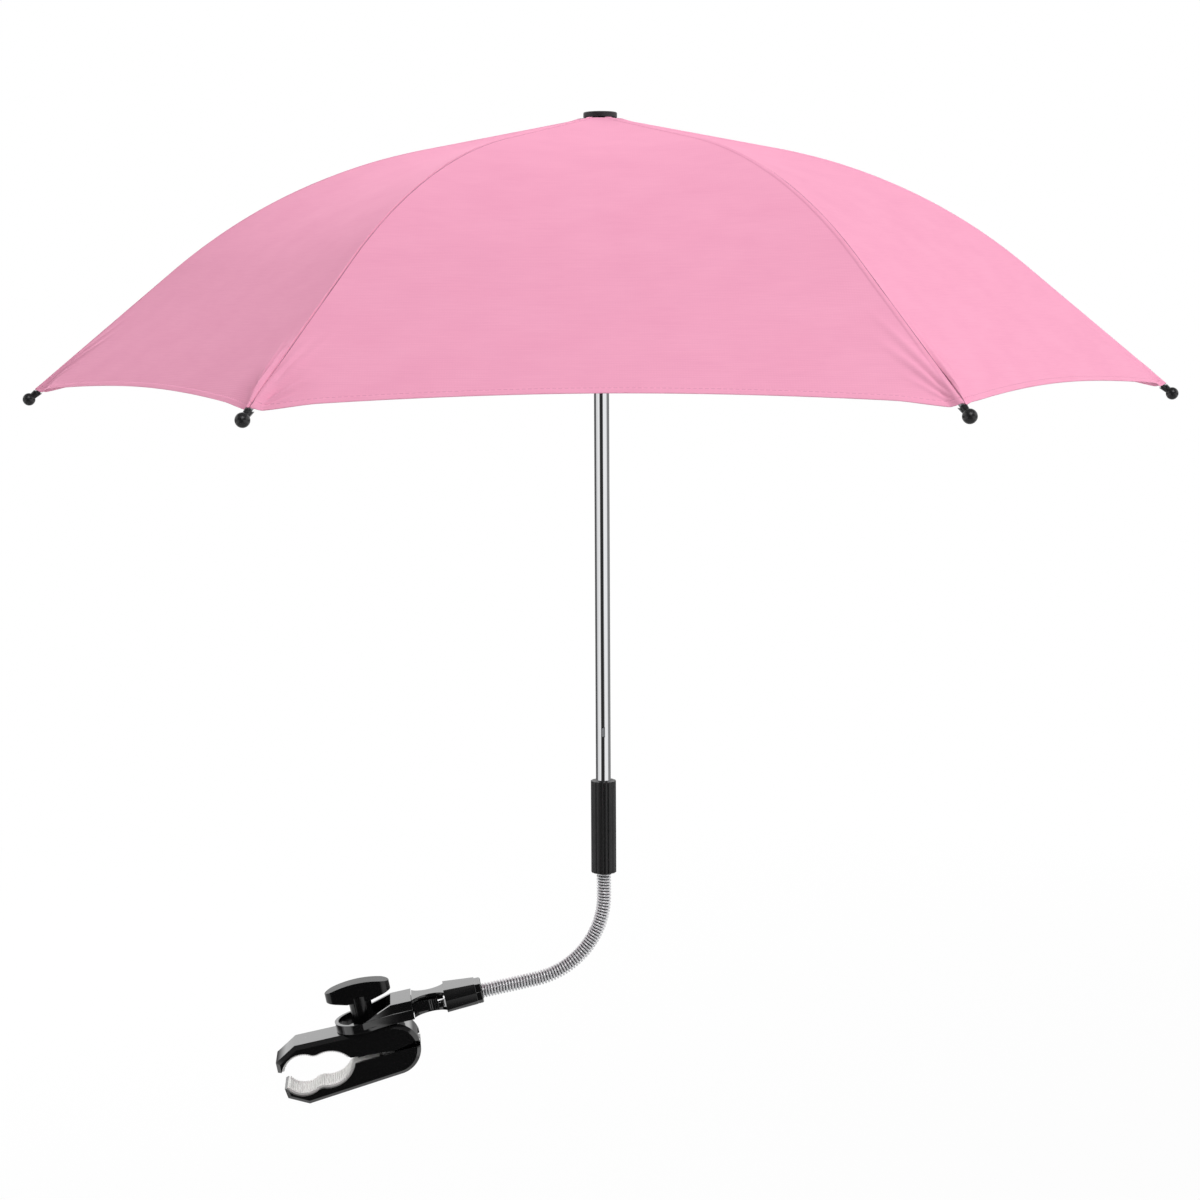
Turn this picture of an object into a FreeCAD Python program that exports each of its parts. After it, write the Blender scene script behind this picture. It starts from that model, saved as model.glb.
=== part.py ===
import FreeCAD, Part
import math
import os

# A clip-on pram parasol: a tube clamp, a gooseneck, a pole and a six-rib folding canopy.
# Millimetres and degrees. The origin is the centre of the clamp's grip, with the gripped tube along Y.
# +X runs from the clamp towards the pole and +Z is up along the pole.

Vec = FreeCAD.Vector

# Fits
running_fit = 0.05      # a pin in its hole
slack = 0.3             # between pieces that move past each other
overrun = 2.0           # how far a cutting tool runs past a face
right_angle = 90.0

# Clamp jaws, in the clamp's own frame: u along the arm, v across, w up
clamp_tilt = 11.2
grip_radius = 13.0      # for a 26 mm tube
pad_thick = 1.6
pad_width = 24.0
lobe_radius = 17.3      # second hollow, for thicker or flat tubes
lobe_u = 17.4
lobe_sink = 6.0         # its centre lies this far past the middle line
jaw_width = 29.0
jaw_bevel = 2.6
jaw_top = 20.5
heel_u = 63.0           # centre of the jaws' round end
heel_w = 2.8
upper_nose_reach = 16.5
upper_nose_w = 4.8
upper_nose_height = 7.0
upper_slope_u = -2.0    # where the sloping nose meets the flat top
lower_nose_reach = 14.6
lower_nose_w = -7.1
lower_nose_height = 6.9
lower_nose_rake = 1.0
lower_belly_u = -0.3
lower_belly_w = -21.0
lower_heel_angle = -82.0
tail_length = 17.0      # pad tail in the split between the jaws
settle_rounds = 12      # steps to find where a hollow meets the split

# Jaw hinge and split
hinge_u = 72.0
hinge_w = 8.0
hinge_pin_radius = 2.5
hinge_pin_length = 24.0
lug_radius = 5.2
lug_width = 14.0
lug_play = 1.8
split_w = 2.0
upper_split_angle = 3.4
lower_split_angle = 3.2
heel_relief_angle = 14.0

# Knob, screw and nut
screw_u = 46.3
screw_radius = 3.0
screw_hole_play = 0.1
screw_bottom = -15.2
knob_length = 44.0
knob_width = 13.0
knob_top = 51.5
knob_crown_drop = 3.6
knob_end_thick = 6.0
knob_flat = 17.0        # flat middle of the bar's underside
knob_under = 38.2
stem_radius = 7.5
screw_in_knob = 6.4     # above the bar's underside
nut_radius = 4.0
nut_length = 12.0
nut_seat_w = -4.0       # ledge that the nut pulls on
nut_seat_play = 0.4
nut_room_out = 6.2      # room for the nut as the jaw opens
nut_room_in = 3.6       # and as it closes
screw_slot_out = 6.0
screw_slot_in = 3.4

# Swivel bracket
dish_radius = 19.5
dish_wall = 2.5
dish_floor = 2.0
dish_under = 20.9
dish_rim = 27.0
block_u = 66.6
block_length = 14.0
block_width = 29.0
block_top = 34.0
socket_wall = 2.2

# Quick-release plug and its two latches
tongue_half = 4.0
tongue_low = 23.4
tongue_top = 31.2
waist_half = 5.6
waist_thick = 2.3
window_length = 6.0     # gap between the tongue and the head
head_u = 103.0
head_length = 25.5
head_half = 11.0
head_low = 18.9
head_rise = 1.6         # head's top above the waist plate
head_draw_in = 2.5      # each side, towards the gooseneck
head_fall = 1.3
head_edge = 2.0         # bevel of the lower edges at the waist
head_end_edge = 3.0     # and at the gooseneck
collar_length = 4.2
collar_step = 0.6
latch_u = 83.0
latch_v = 9.4
latch_thick = 2.0
latch_length = 15.0
latch_low = 23.8
latch_top = 30.8
finger_length = 6.5
finger_proud = 1.6

# Gooseneck: a straight run, one bend and a short rise into the sleeve
neck_w = 25.6
neck_run = 37.3
neck_bend_radius = 58.0
neck_rise = 16.3
neck_seat = 12.5        # depth of the spring in the plug and in the sleeve
coil_radius = 4.3
wire_radius = 0.65
coil_pitch = 2.05
wire_turn_out = 1.6     # radius of the bend that turns each end square to its seat
core_radius = 3.3
core_seat = 6.0
seat_radius = 5.7

# Sleeve and pole
sleeve_radius = 8.5
sleeve_length = 63.0
flute_count = 14
flute_radius = 1.6
flute_depth = 0.35
pole_radius = 5.0
pole_wall = 0.8
pole_insert = 36.0      # how deep the pole stands in the sleeve

# Canopy: six ribs about the pole
rib_count = 6
canopy_phase = -5.0
canopy_rise = 501.4     # canopy top above the sleeve's lower end
top_radius = 12.0       # where that height is taken
inner_slope = 10.5
outer_slope = 39.5
bend_corner_r = 207.7   # where the two straight slopes would meet
rib_bend_radius = 363.0
corner_radius = 372.0   # fabric corner
hem_dip = 8.0           # how far the hem's middle is cut in
fabric_thick = 0.8
fabric_inner = 10.2
rib_drop = 2.6          # rib's centre line below the fabric's outside
rib_radius = 1.5
ball_radius = 4.1
ball_stand = 6.0        # ball's centre, measured past the fabric corner
tip_root_radius = 1.9   # neck at the ball's centre, widening to the fork
fork_radius = 2.7
fork_upper = 6.6        # ends of the fork's prongs, from the ball's centre
fork_lower = 9.0
fork_root = 5.4         # where the fork parts
fork_open = 1.9         # half its opening at the lower prong's end
rib_end = 2.4           # from the ball's centre

# Crown, cap and rib hinges
pivot_radius = 8.5
crown_radius = 11.0
crown_below = 7.0
crown_above = 1.0
slot_floor = 6.1
eye_radius = 2.0
eye_thick = 2.4
crown_wire_radius = 0.6
eye_play = 0.15
cap_radius = 11.0
cap_thick = 3.5
cap_lift = 2.9
cap_stem = 9.0
cap_edge = 0.8

# Stretchers and runner
joint_r = 200.0         # rib joint, measured along the fabric
joint_drop = 5.0
lug_half = 2.0
lug_thick = 2.0
rivet_radius = 0.8
cheek_thick = 0.8
cheek_play = 0.2
cheek_radius = 2.2
fork_length = 9.0
fork_web = 3.4
stretcher_radius = 1.3
runner_radius = 10.0
runner_above = 5.0
runner_below = 40.0
runner_play = 0.1
fold_angle = 63.5

# Spring catches in the pole
catch_width = 1.8
catch_length = 26.0
catch_body = 3.2
catch_out = 2.6
catch_tooth = 6.0
catch_below = 20.9      # tooth's lower end below the runner's pivots, where it locks the runner
catch_inset = 0.2
catch_turn_share = 1.5  # rib spacings back from the first rib, midway between two ribs


# Small shapes

def box(low, high):
    size = high - low
    return Part.makeBox(size.x, size.y, size.z, low)


def rod(start, end, radius):
    along = end - start
    return Part.makeCylinder(radius, along.Length, start, along)


def cross_rod(u, w, radius, length):
    """A cylinder across the clamp, centred on v = 0."""
    return rod(Vec(u, -length / 2, w), Vec(u, length / 2, w), radius)


def prism_across(edges, width):
    """A profile in the u-w plane, given the width of the clamp piece."""
    face = Part.Face(Part.Wire(edges))
    solid = face.extrude(Vec(0, width, 0))
    solid.translate(Vec(0, -width / 2, 0))
    return solid


def prism_up(edges, low, high):
    """A plan outline drawn at w = 0, raised between two heights."""
    solid = Part.Face(Part.Wire(edges)).extrude(Vec(0, 0, high - low))
    solid.translate(Vec(0, 0, low))
    return solid


def lines(points, closed=True):
    loop = points + points[:1] if closed else points
    return [Part.makeLine(a, b) for a, b in zip(loop, loop[1:])]


def side(points):
    return [Vec(u, 0, w) for u, w in points]


def plan(points):
    return [Vec(u, v, 0) for u, v in points]


def arc(start, middle, end):
    return Part.Arc(start, middle, end).toShape()


def fuse(first, *others):
    return first.fuse(list(others)).removeSplitter()


def cut(first, *tools):
    return first.cut(list(tools))


def save(name, shape):
    solids = shape.Solids
    result = solids[0] if len(solids) == 1 else Part.makeCompound(solids)
    result.exportStep("parts/" + name + ".step")
    print(name, len(solids), round(sum(s.Volume for s in solids), 2), shape.isValid())


def tilt(shape):
    """From the clamp's own frame to the part's frame."""
    turned = shape.copy()
    turned.rotate(Vec(0, 0, 0), Vec(0, 1, 0), -clamp_tilt)
    return turned


def tilt_point(u, w):
    a = math.radians(clamp_tilt)
    return Vec(u * math.cos(a) - w * math.sin(a), 0, u * math.sin(a) + w * math.cos(a))


# Clamp jaws and pads

heel_radius = jaw_top - heel_w


def upper_split(u):
    rise = hinge_u - u
    return split_w + slack + rise * math.tan(math.radians(upper_split_angle))


def lower_split(u):
    return split_w - (hinge_u - u) * math.tan(math.radians(lower_split_angle))


def heel_point(angle):
    a = math.radians(angle)
    return Vec(heel_u + heel_radius * math.cos(a), 0, heel_w + heel_radius * math.sin(a))


def heel_angle_at(w):
    return math.degrees(math.asin((w - heel_w) / heel_radius))


def split_of(sign):
    return upper_split if sign > 0 else lower_split


def lobe_end(sign):
    """Where the second hollow of a jaw runs out into the split."""
    radius = lobe_radius + pad_thick
    u = lobe_u + radius
    for _ in range(settle_rounds):
        u = lobe_u + math.sqrt(radius ** 2 - (lobe_sink + sign * split_of(sign)(u)) ** 2)
    return u


def hollows(sign, inset):
    """The two round hollows of one jaw; sign is 1 above and -1 below."""
    grip = cross_rod(0, 0, grip_radius + inset, jaw_width + overrun)
    lobe = cross_rod(lobe_u, -sign * lobe_sink, lobe_radius + inset, jaw_width + overrun)
    return grip.fuse(lobe)


def bevel_outside(solid, is_inner):
    """Bevels the outer edges on both sides of a jaw."""
    half = jaw_width / 2
    picked = []
    for edge in solid.Edges:
        if all(abs(abs(v.Y) - half) < slack for v in edge.Vertexes):
            middle = edge.valueAt((edge.FirstParameter + edge.LastParameter) / 2)
            if abs(abs(middle.y) - half) < slack and not is_inner(middle):
                picked.append(edge)
    return solid.makeChamfer(jaw_bevel, picked)


relief_end_w = split_w + slack + (heel_u + heel_radius - hinge_u) * math.tan(math.radians(heel_relief_angle))


def upper_outline():
    start = heel_point(heel_angle_at(relief_end_w))
    top_end = Vec(heel_u, 0, jaw_top)
    middle = heel_point((right_angle + heel_angle_at(relief_end_w)) / 2)
    points = side([
        (heel_u, jaw_top),
        (upper_slope_u, jaw_top),
        (-upper_nose_reach, upper_nose_w + upper_nose_height),
        (-upper_nose_reach, upper_nose_w),
        (lobe_u, upper_nose_w),
        (lobe_end(1), upper_split(lobe_end(1))),
        (hinge_u, split_w + slack),
    ])
    return lines(points + [start], closed=False) + [arc(start, middle, top_end)]


def lower_outline():
    start = heel_point(lower_heel_angle)
    end = heel_point(heel_angle_at(split_w))
    middle = heel_point((lower_heel_angle + heel_angle_at(split_w)) / 2)
    corner_u = -lower_nose_reach + lower_nose_rake
    points = side([
        (hinge_u, split_w),
        (lobe_end(-1), lower_split(lobe_end(-1))),
        (lobe_u, lower_nose_w),
        (-lower_nose_reach, lower_nose_w),
        (corner_u, lower_nose_w - lower_nose_height),
        (lower_belly_u, lower_belly_w),
    ])
    return lines([end] + points + [start], closed=False) + [arc(start, middle, end)]


def inner_upper(p):
    return p.z < upper_split(p.x) + slack and p.x > -upper_nose_reach + slack


def inner_lower(p):
    between = -lower_nose_reach + slack < p.x < heel_u + heel_radius - slack
    return between and p.z > lower_nose_w - slack


def tail_strip(sign, width, hole):
    """The flat tail of a pad, let into the split face of its jaw."""
    split = split_of(sign)
    far = lobe_end(sign) + tail_length
    near = lobe_end(sign) - pad_thick
    edges = lines(side([
        (near, split(near)),
        (far, split(far)),
        (far, split(far) + sign * pad_thick),
        (near, split(near) + sign * pad_thick),
    ]))
    strip = prism_across(edges, width)
    if not hole:
        return strip
    return strip.cut(screw_slot(split_w - nut_radius, split_w + nut_radius))


def screw_slot(low, high):
    """A slot that lets the tilting jaw pass the screw."""
    half = screw_radius + slack + slack
    return box(
        Vec(screw_u - half - screw_slot_out, -half, low),
        Vec(screw_u + half + screw_slot_in, half, high),
    )


def pad(sign):
    ring = hollows(sign, pad_thick).cut(hollows(sign, 0))
    half = pad_width / 2
    nose = upper_nose_w if sign > 0 else lower_nose_w
    split = split_of(sign)
    end_u = lobe_end(sign) + overrun
    far_w = sign * (grip_radius + lobe_radius)
    open_u = -grip_radius * 2
    grip_side = lines(side([(open_u, nose), (lobe_u, nose), (lobe_u, far_w), (open_u, far_w)]))
    lobe_side = lines(side([
        (lobe_u, split(lobe_u)),
        (end_u, split(end_u)),
        (end_u, far_w),
        (lobe_u, far_w),
    ]))
    keep = prism_across(grip_side, half * 2).fuse(prism_across(lobe_side, half * 2))
    return fuse(ring.common(keep), tail_strip(sign, pad_width, True))


def jaw_room(sign):
    """What a pad takes out of its jaw."""
    return [hollows(sign, pad_thick), tail_strip(sign, pad_width, False)]


def upper_jaw():
    body = bevel_outside(prism_across(upper_outline(), jaw_width), inner_upper)
    pocket_width = lug_width + slack * 2
    pocket = cross_rod(hinge_u, hinge_w, lug_radius + slack, pocket_width)
    reach = heel_u + heel_radius + overrun
    throat = box(
        Vec(hinge_u - lug_radius - lug_play, -pocket_width / 2, 0),
        Vec(reach, pocket_width / 2, hinge_w),
    )
    pin_hole = cross_rod(hinge_u, hinge_w, hinge_pin_radius, hinge_pin_length)
    screw_hole = rod(Vec(screw_u, 0, 0), Vec(screw_u, 0, jaw_top + overrun), screw_radius + screw_hole_play)
    return cut(body, pocket, throat, pin_hole, screw_hole, *jaw_room(1))


def lower_jaw():
    body = bevel_outside(prism_across(lower_outline(), jaw_width), inner_lower)
    lug = fuse(
        cross_rod(hinge_u, hinge_w, lug_radius, lug_width),
        box(
            Vec(hinge_u - lug_radius, -lug_width / 2, split_w - lug_radius),
            Vec(hinge_u + lug_radius, lug_width / 2, hinge_w),
        ),
    )
    pin_hole = cross_rod(hinge_u, hinge_w, hinge_pin_radius + running_fit, jaw_width)
    half = nut_length / 2 + slack
    recess = box(
        Vec(screw_u - nut_radius - nut_room_out, -half, lower_belly_w - overrun),
        Vec(screw_u + nut_radius + nut_room_in, half, nut_seat_w),
    )
    slot = screw_slot(lower_belly_w, split_w + overrun)
    return cut(fuse(body, lug), pin_hole, recess, slot, *jaw_room(-1))


def hinge_pin():
    return cross_rod(hinge_u, hinge_w, hinge_pin_radius, hinge_pin_length)


# Knob, screw and nut

def clamp_knob():
    half = knob_length / 2
    shoulder = knob_top - knob_crown_drop
    top = arc(
        Vec(screw_u + half, 0, shoulder),
        Vec(screw_u, 0, knob_top),
        Vec(screw_u - half, 0, shoulder),
    )
    under = side([
        (screw_u - half, shoulder),
        (screw_u - half, shoulder - knob_end_thick),
        (screw_u - knob_flat / 2, knob_under),
        (screw_u + knob_flat / 2, knob_under),
        (screw_u + half, shoulder - knob_end_thick),
        (screw_u + half, shoulder),
    ])
    bar = prism_across([top] + lines(under, closed=False), knob_width)
    ends = [
        arc(
            Vec(screw_u + s * (half - knob_width / 2), s * knob_width / 2, 0),
            Vec(screw_u + s * half, 0, 0),
            Vec(screw_u + s * (half - knob_width / 2), -s * knob_width / 2, 0),
        )
        for s in (1, -1)
    ]
    runs = [Part.makeLine(ends[0].Vertexes[-1].Point, ends[1].Vertexes[0].Point)]
    runs.append(Part.makeLine(ends[1].Vertexes[-1].Point, ends[0].Vertexes[0].Point))
    racetrack = prism_up([ends[0], runs[0], ends[1], runs[1]], 0, knob_top + overrun)
    foot = dish_under + dish_floor + slack
    stem = rod(Vec(screw_u, 0, foot), Vec(screw_u, 0, knob_under + knob_crown_drop), stem_radius)
    rounded = bar.common(racetrack)
    return cut(fuse(rounded, stem), clamp_screw())


def clamp_screw():
    return rod(Vec(screw_u, 0, screw_bottom), Vec(screw_u, 0, knob_under + screw_in_knob), screw_radius)


def clamp_nut():
    middle = nut_seat_w - nut_seat_play - nut_radius
    barrel = cross_rod(screw_u, middle, nut_radius, nut_length)
    hole = rod(
        Vec(screw_u, 0, middle - nut_radius - overrun),
        Vec(screw_u, 0, middle + nut_radius + overrun),
        screw_radius + running_fit,
    )
    return cut(barrel, hole)


# Swivel bracket, plug and latches

block_end = block_u + block_length
floor_top = dish_under + dish_floor
head_end = head_u + head_length
plate_top = tongue_top + waist_thick
head_top = plate_top + head_rise


def gusset(sign):
    """A side wall that rises from the dish to the block."""
    outer = dish_radius
    inner = dish_radius - dish_wall
    block_half = block_width / 2
    strip = prism_up(lines(plan([
        (screw_u, sign * outer),
        (block_u, sign * block_half),
        (block_u, sign * (block_half - dish_wall)),
        (screw_u, sign * inner),
    ])), dish_under, block_top)
    slope = prism_across(lines(side([
        (screw_u, dish_under),
        (block_u, dish_under),
        (block_u, block_top),
        (screw_u, dish_rim),
    ])), dish_radius * 2 + overrun)
    return strip.common(slope)


def swivel_bracket():
    axis_low = Vec(screw_u, 0, dish_under)
    floor = rod(axis_low, Vec(screw_u, 0, floor_top), dish_radius)
    rim = rod(axis_low, Vec(screw_u, 0, dish_rim), dish_radius)
    well = rod(axis_low, Vec(screw_u, 0, dish_rim + overrun), dish_radius - dish_wall)
    behind = box(
        Vec(screw_u, -dish_radius - overrun, dish_under - overrun),
        Vec(block_end, dish_radius + overrun, dish_rim + overrun),
    )
    half_rim = cut(rim, well, behind)
    apron = prism_up(lines(plan([
        (screw_u, dish_radius),
        (block_u, block_width / 2),
        (block_u, -block_width / 2),
        (screw_u, -dish_radius),
    ])), dish_under, floor_top)
    block = box(
        Vec(block_u, -block_width / 2, dish_under),
        Vec(block_end, block_width / 2, block_top),
    )
    socket = box(
        Vec(block_u + socket_wall, -block_width / 2 + socket_wall, tongue_low),
        Vec(block_end + overrun, block_width / 2 - socket_wall, tongue_top),
    )
    hole = rod(
        Vec(screw_u, 0, dish_under - overrun),
        Vec(screw_u, 0, floor_top + overrun),
        screw_radius + screw_hole_play,
    )
    body = fuse(floor, half_rim, apron, gusset(1), gusset(-1), block)
    return cut(body, socket, hole)


def waist_plate(low):
    """One of the plug's two plates, drawn in between the block and the head."""
    near_u = block_end + slack
    wide = block_width / 2 - socket_wall
    middle_u = (near_u + head_u) / 2
    edges = [
        arc(Vec(near_u, wide, 0), Vec(middle_u, waist_half, 0), Vec(head_u, head_half, 0)),
        Part.makeLine(Vec(head_u, head_half, 0), Vec(head_u, -head_half, 0)),
        arc(Vec(head_u, -head_half, 0), Vec(middle_u, -waist_half, 0), Vec(near_u, -wide, 0)),
        Part.makeLine(Vec(near_u, -wide, 0), Vec(near_u, wide, 0)),
    ]
    return prism_up(edges, low, low + waist_thick)


def head_section(u, half, top, edge):
    """The head's cross-section, with its lower edges bevelled."""
    corners = [
        (half, top),
        (half, head_low + edge),
        (half - edge, head_low),
        (edge - half, head_low),
        (-half, head_low + edge),
        (-half, top),
    ]
    return Part.Wire(lines([Vec(u, v, w) for v, w in corners]))


def plug_head():
    body_end = head_end - collar_length
    end_half = head_half - head_draw_in
    end_top = head_top - head_fall
    body = Part.makeLoft([
        head_section(head_u, head_half, head_top, head_edge),
        head_section(body_end, end_half, end_top, head_end_edge),
    ], True, True)
    collar = Part.makeLoft([
        head_section(u, end_half - collar_step, end_top - collar_step, head_end_edge)
        for u in (body_end, head_end)
    ], True, True)
    return fuse(body, collar)


def quick_release_plug():
    tongue = box(
        Vec(block_u + socket_wall + slack, -tongue_half, tongue_low),
        Vec(head_u - window_length, tongue_half, tongue_top),
    )
    plates = [waist_plate(low) for low in (tongue_low - waist_thick, tongue_top)]
    spring_seat = rod(Vec(head_end - neck_seat, 0, neck_w), Vec(head_end + overrun, 0, neck_w), seat_radius)
    core_hole = rod(
        Vec(head_end - neck_seat - core_seat, 0, neck_w),
        Vec(head_end, 0, neck_w),
        core_radius + running_fit,
    )
    return cut(fuse(plug_head(), tongue, *plates), spring_seat, core_hole)


def latch(sign):
    arm = box(
        Vec(block_end + slack, latch_v - latch_thick / 2, latch_low),
        Vec(latch_u + latch_length, latch_v + latch_thick / 2, latch_top),
    )
    far = latch_u + latch_length
    finger = prism_up(lines(plan([
        (far - finger_length, latch_v + latch_thick / 2),
        (far, latch_v + latch_thick / 2),
        (far, latch_v + latch_thick / 2 + finger_proud),
        (far - finger_length / 2, latch_v + latch_thick / 2 + finger_proud),
    ])), latch_low, latch_top)
    shape = fuse(arm, finger)
    if sign < 0:
        shape = shape.mirror(Vec(0, 0, 0), Vec(0, 1, 0))
    return shape


# Gooseneck

neck_start = tilt_point(head_end, neck_w)
neck_turn = math.radians(right_angle - clamp_tilt)
neck_arc = neck_bend_radius * neck_turn
neck_length = neck_run + neck_arc + neck_rise


def neck_frame(s):
    """Centre, direction and inward normal of the gooseneck at a length along it."""
    a = math.radians(clamp_tilt)
    along = min(max(s - neck_run, 0), neck_arc)
    run = min(s, neck_run)
    rise = max(s - neck_run - neck_arc, 0)
    turned = a + along / neck_bend_radius
    arc_x = neck_bend_radius * (math.sin(turned) - math.sin(a))
    arc_z = neck_bend_radius * (math.cos(a) - math.cos(turned))
    x = neck_start.x + run * math.cos(a) + arc_x
    z = neck_start.z + run * math.sin(a) + arc_z + rise
    direction = Vec(math.cos(turned), 0, math.sin(turned))
    inward = Vec(-math.sin(turned), 0, math.cos(turned))
    curving = 1 / neck_bend_radius if 0 < s - neck_run < neck_arc else 0
    return Vec(x, 0, z), direction, inward, curving


pole_x = neck_frame(neck_length)[0].x
sleeve_low = neck_frame(neck_length)[0].z
sleeve_high = sleeve_low + sleeve_length


coil_end_room = wire_turn_out + wire_radius * 2 + slack
coil_first = -neck_seat + coil_end_room
coil_span = neck_length + neck_seat - coil_end_room - coil_first
coil_halves = int(coil_span / coil_pitch * 2)
coil_step = coil_span / coil_halves


def coil_point(s):
    """A point on the spring wire's centre line, and the wire's direction there."""
    centre, direction, inward, curving = neck_frame(s)
    turn = math.pi * (s - coil_first) / coil_step
    across = Vec(0, 1, 0)
    outward = inward * math.cos(turn) + across * math.sin(turn)
    around = across * math.cos(turn) - inward * math.sin(turn)
    forward = direction * (1 - curving * coil_radius * math.cos(turn))
    heading = forward + around * (coil_radius * math.pi / coil_step)
    return centre + outward * coil_radius, heading.normalize()


def biarc(p0, t0, p1, t1):
    """Two arcs that join two points along two given directions."""
    v = p1 - p0
    t = t0 + t1
    a = 2 * (1 - t0.dot(t1))
    b = 2 * v.dot(t)
    d = (-b + math.sqrt(b * b + 4 * a * v.dot(v))) / (2 * a)
    knot = (p0 + p1 + (t0 - t1) * d) * 0.5
    middles = []
    for start, heading in ((p0, t0), (p1, t1 * -1)):
        chord = knot - start
        square = chord - heading * chord.dot(heading)
        radius = chord.dot(chord) / (2 * square.Length)
        centre = start + square.normalize() * radius
        bisector = (start - centre) + (knot - centre)
        middles.append(centre + bisector.normalize() * radius)
    return [arc(p0, middles[0], knot), arc(knot, middles[1], p1)]


def turned_end(point, heading, leaving):
    """A quarter bend from the coil to a direction square to it, then one wire's width straight on."""
    flat = (heading - leaving * heading.dot(leaving)).normalize()
    centre = point + leaving * wire_turn_out
    middle = centre + (flat - leaving).normalize() * wire_turn_out
    bend_end = centre + flat * wire_turn_out
    tip = bend_end + leaving * (wire_radius * 2)
    return arc(point, middle, bend_end), Part.makeLine(bend_end, tip), tip


def gooseneck_path():
    places = [coil_point(coil_first + i * coil_step) for i in range(coil_halves + 1)]
    edges = []
    for (p0, t0), (p1, t1) in zip(places, places[1:]):
        edges += biarc(p0, t0, p1, t1)
    low_axis = neck_frame(-neck_seat)[1]
    high_axis = neck_frame(neck_length + neck_seat)[1]
    low_bend, low_run, low_tip = turned_end(places[0][0], places[0][1] * -1, low_axis * -1)
    high_bend, high_run, high_tip = turned_end(places[-1][0], places[-1][1], high_axis)
    return [low_run, low_bend] + edges + [high_bend, high_run], low_tip, low_axis


def least_coil_gap(edges):
    """Measured on points along the wire, between turns that follow each other."""
    per_edge = 6
    points = [edge.valueAt(edge.FirstParameter + (edge.LastParameter - edge.FirstParameter) * k / per_edge)
              for edge in edges for k in range(per_edge)]
    half_turn = per_edge * 2
    least = neck_length
    for i, p in enumerate(points):
        for q in points[i + half_turn + per_edge:i + half_turn * 3]:
            least = min(least, (p - q).Length)
    return least - wire_radius * 2


def gooseneck_spring():
    edges, tip, axis = gooseneck_path()
    print("gooseneck turns", coil_halves / 2, "least gap", round(least_coil_gap(edges), 3))
    wire = Part.Wire(Part.__sortEdges__(edges))
    section = Part.Wire(Part.makeCircle(wire_radius, tip, axis))
    return wire.makePipeShell([section], True, False)


def gooseneck_core():
    low = neck_frame(-neck_seat - core_seat)
    bend_start = neck_frame(neck_run)[0]
    bend_middle = neck_frame(neck_run + neck_arc / 2)[0]
    bend_end = neck_frame(neck_run + neck_arc)[0]
    high = neck_frame(neck_length + neck_seat + core_seat)
    path = Part.Wire([
        Part.makeLine(low[0], bend_start),
        arc(bend_start, bend_middle, bend_end),
        Part.makeLine(bend_end, high[0]),
    ])
    section = Part.Wire(Part.makeCircle(core_radius, low[0], low[1]))
    return path.makePipeShell([section], True, False)


# Sleeve, pole and catches

pole_low = sleeve_high - pole_insert
canopy_top = sleeve_low + canopy_rise


def at_pole(z):
    return Vec(pole_x, 0, z)


def pole_rod(radius, low, high):
    return rod(at_pole(low), at_pole(high), radius)


def turn_about_pole(shape, angle):
    turned = shape.copy()
    turned.rotate(at_pole(0), Vec(0, 0, 1), angle)
    return turned


def sleeve():
    body = pole_rod(sleeve_radius, sleeve_low, sleeve_high)
    pole_hole = pole_rod(pole_radius, pole_low, sleeve_high + overrun)
    spring_hole = pole_rod(seat_radius, sleeve_low - overrun, sleeve_low + neck_seat)
    core_hole = pole_rod(core_radius + running_fit, sleeve_low, sleeve_low + neck_seat + core_seat)
    centre = sleeve_radius + flute_radius - flute_depth
    flute = rod(
        Vec(pole_x + centre, 0, sleeve_low - overrun),
        Vec(pole_x + centre, 0, sleeve_high + overrun),
        flute_radius,
    )
    flutes = [turn_about_pole(flute, 360 * i / flute_count) for i in range(flute_count)]
    return cut(body, pole_hole, spring_hole, core_hole, *flutes)


# Canopy profile, as distance from the pole and height

inner_tan = math.tan(math.radians(inner_slope))
outer_tan = math.tan(math.radians(outer_slope))
bend_corner_z = canopy_top - (bend_corner_r - top_radius) * inner_tan
bend_angle = outer_slope - inner_slope


def slope_vector(angle):
    a = math.radians(angle)
    return Vec(math.cos(a), 0, -math.sin(a))


def slope_normal(angle):
    a = math.radians(angle)
    return Vec(math.sin(a), 0, math.cos(a))


def profile_line(drop):
    """The rib line set in by a distance: corner, bend start, bend middle and bend end."""
    half = math.radians(bend_angle / 2)
    middle_slope = (inner_slope + outer_slope) / 2
    corner = Vec(bend_corner_r, 0, bend_corner_z) - slope_normal(middle_slope) * (drop / math.cos(half))
    radius = rib_bend_radius - drop
    reach = radius * math.tan(half)
    start = corner - slope_vector(inner_slope) * reach
    end = corner + slope_vector(outer_slope) * reach
    middle = corner - slope_normal(middle_slope) * (radius / math.cos(half) - radius)
    return start, middle, end


def inner_point(drop, r):
    start = profile_line(drop)[0]
    return Vec(r, 0, start.z + (start.x - r) * inner_tan)


def outer_point(drop, r):
    end = profile_line(drop)[2]
    return Vec(r, 0, end.z - (r - end.x) * outer_tan)


pivot = inner_point(rib_drop, pivot_radius)
ball_centre = outer_point(rib_drop, corner_radius + ball_stand)


def bend_point(drop, r):
    """The point of the bent stretch at a distance from the pole."""
    start = profile_line(drop)[0]
    radius = rib_bend_radius - drop
    centre = start - slope_normal(inner_slope) * radius
    return Vec(r, 0, centre.z + math.sqrt(radius ** 2 - (r - centre.x) ** 2)), centre


def joint_frame():
    """The rib's point above the stretcher joint, the rib's slope there and the joint itself."""
    on_rib, centre = bend_point(rib_drop, joint_r)
    out = (on_rib - centre).normalize()
    return on_rib, out, on_rib - out * joint_drop


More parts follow.
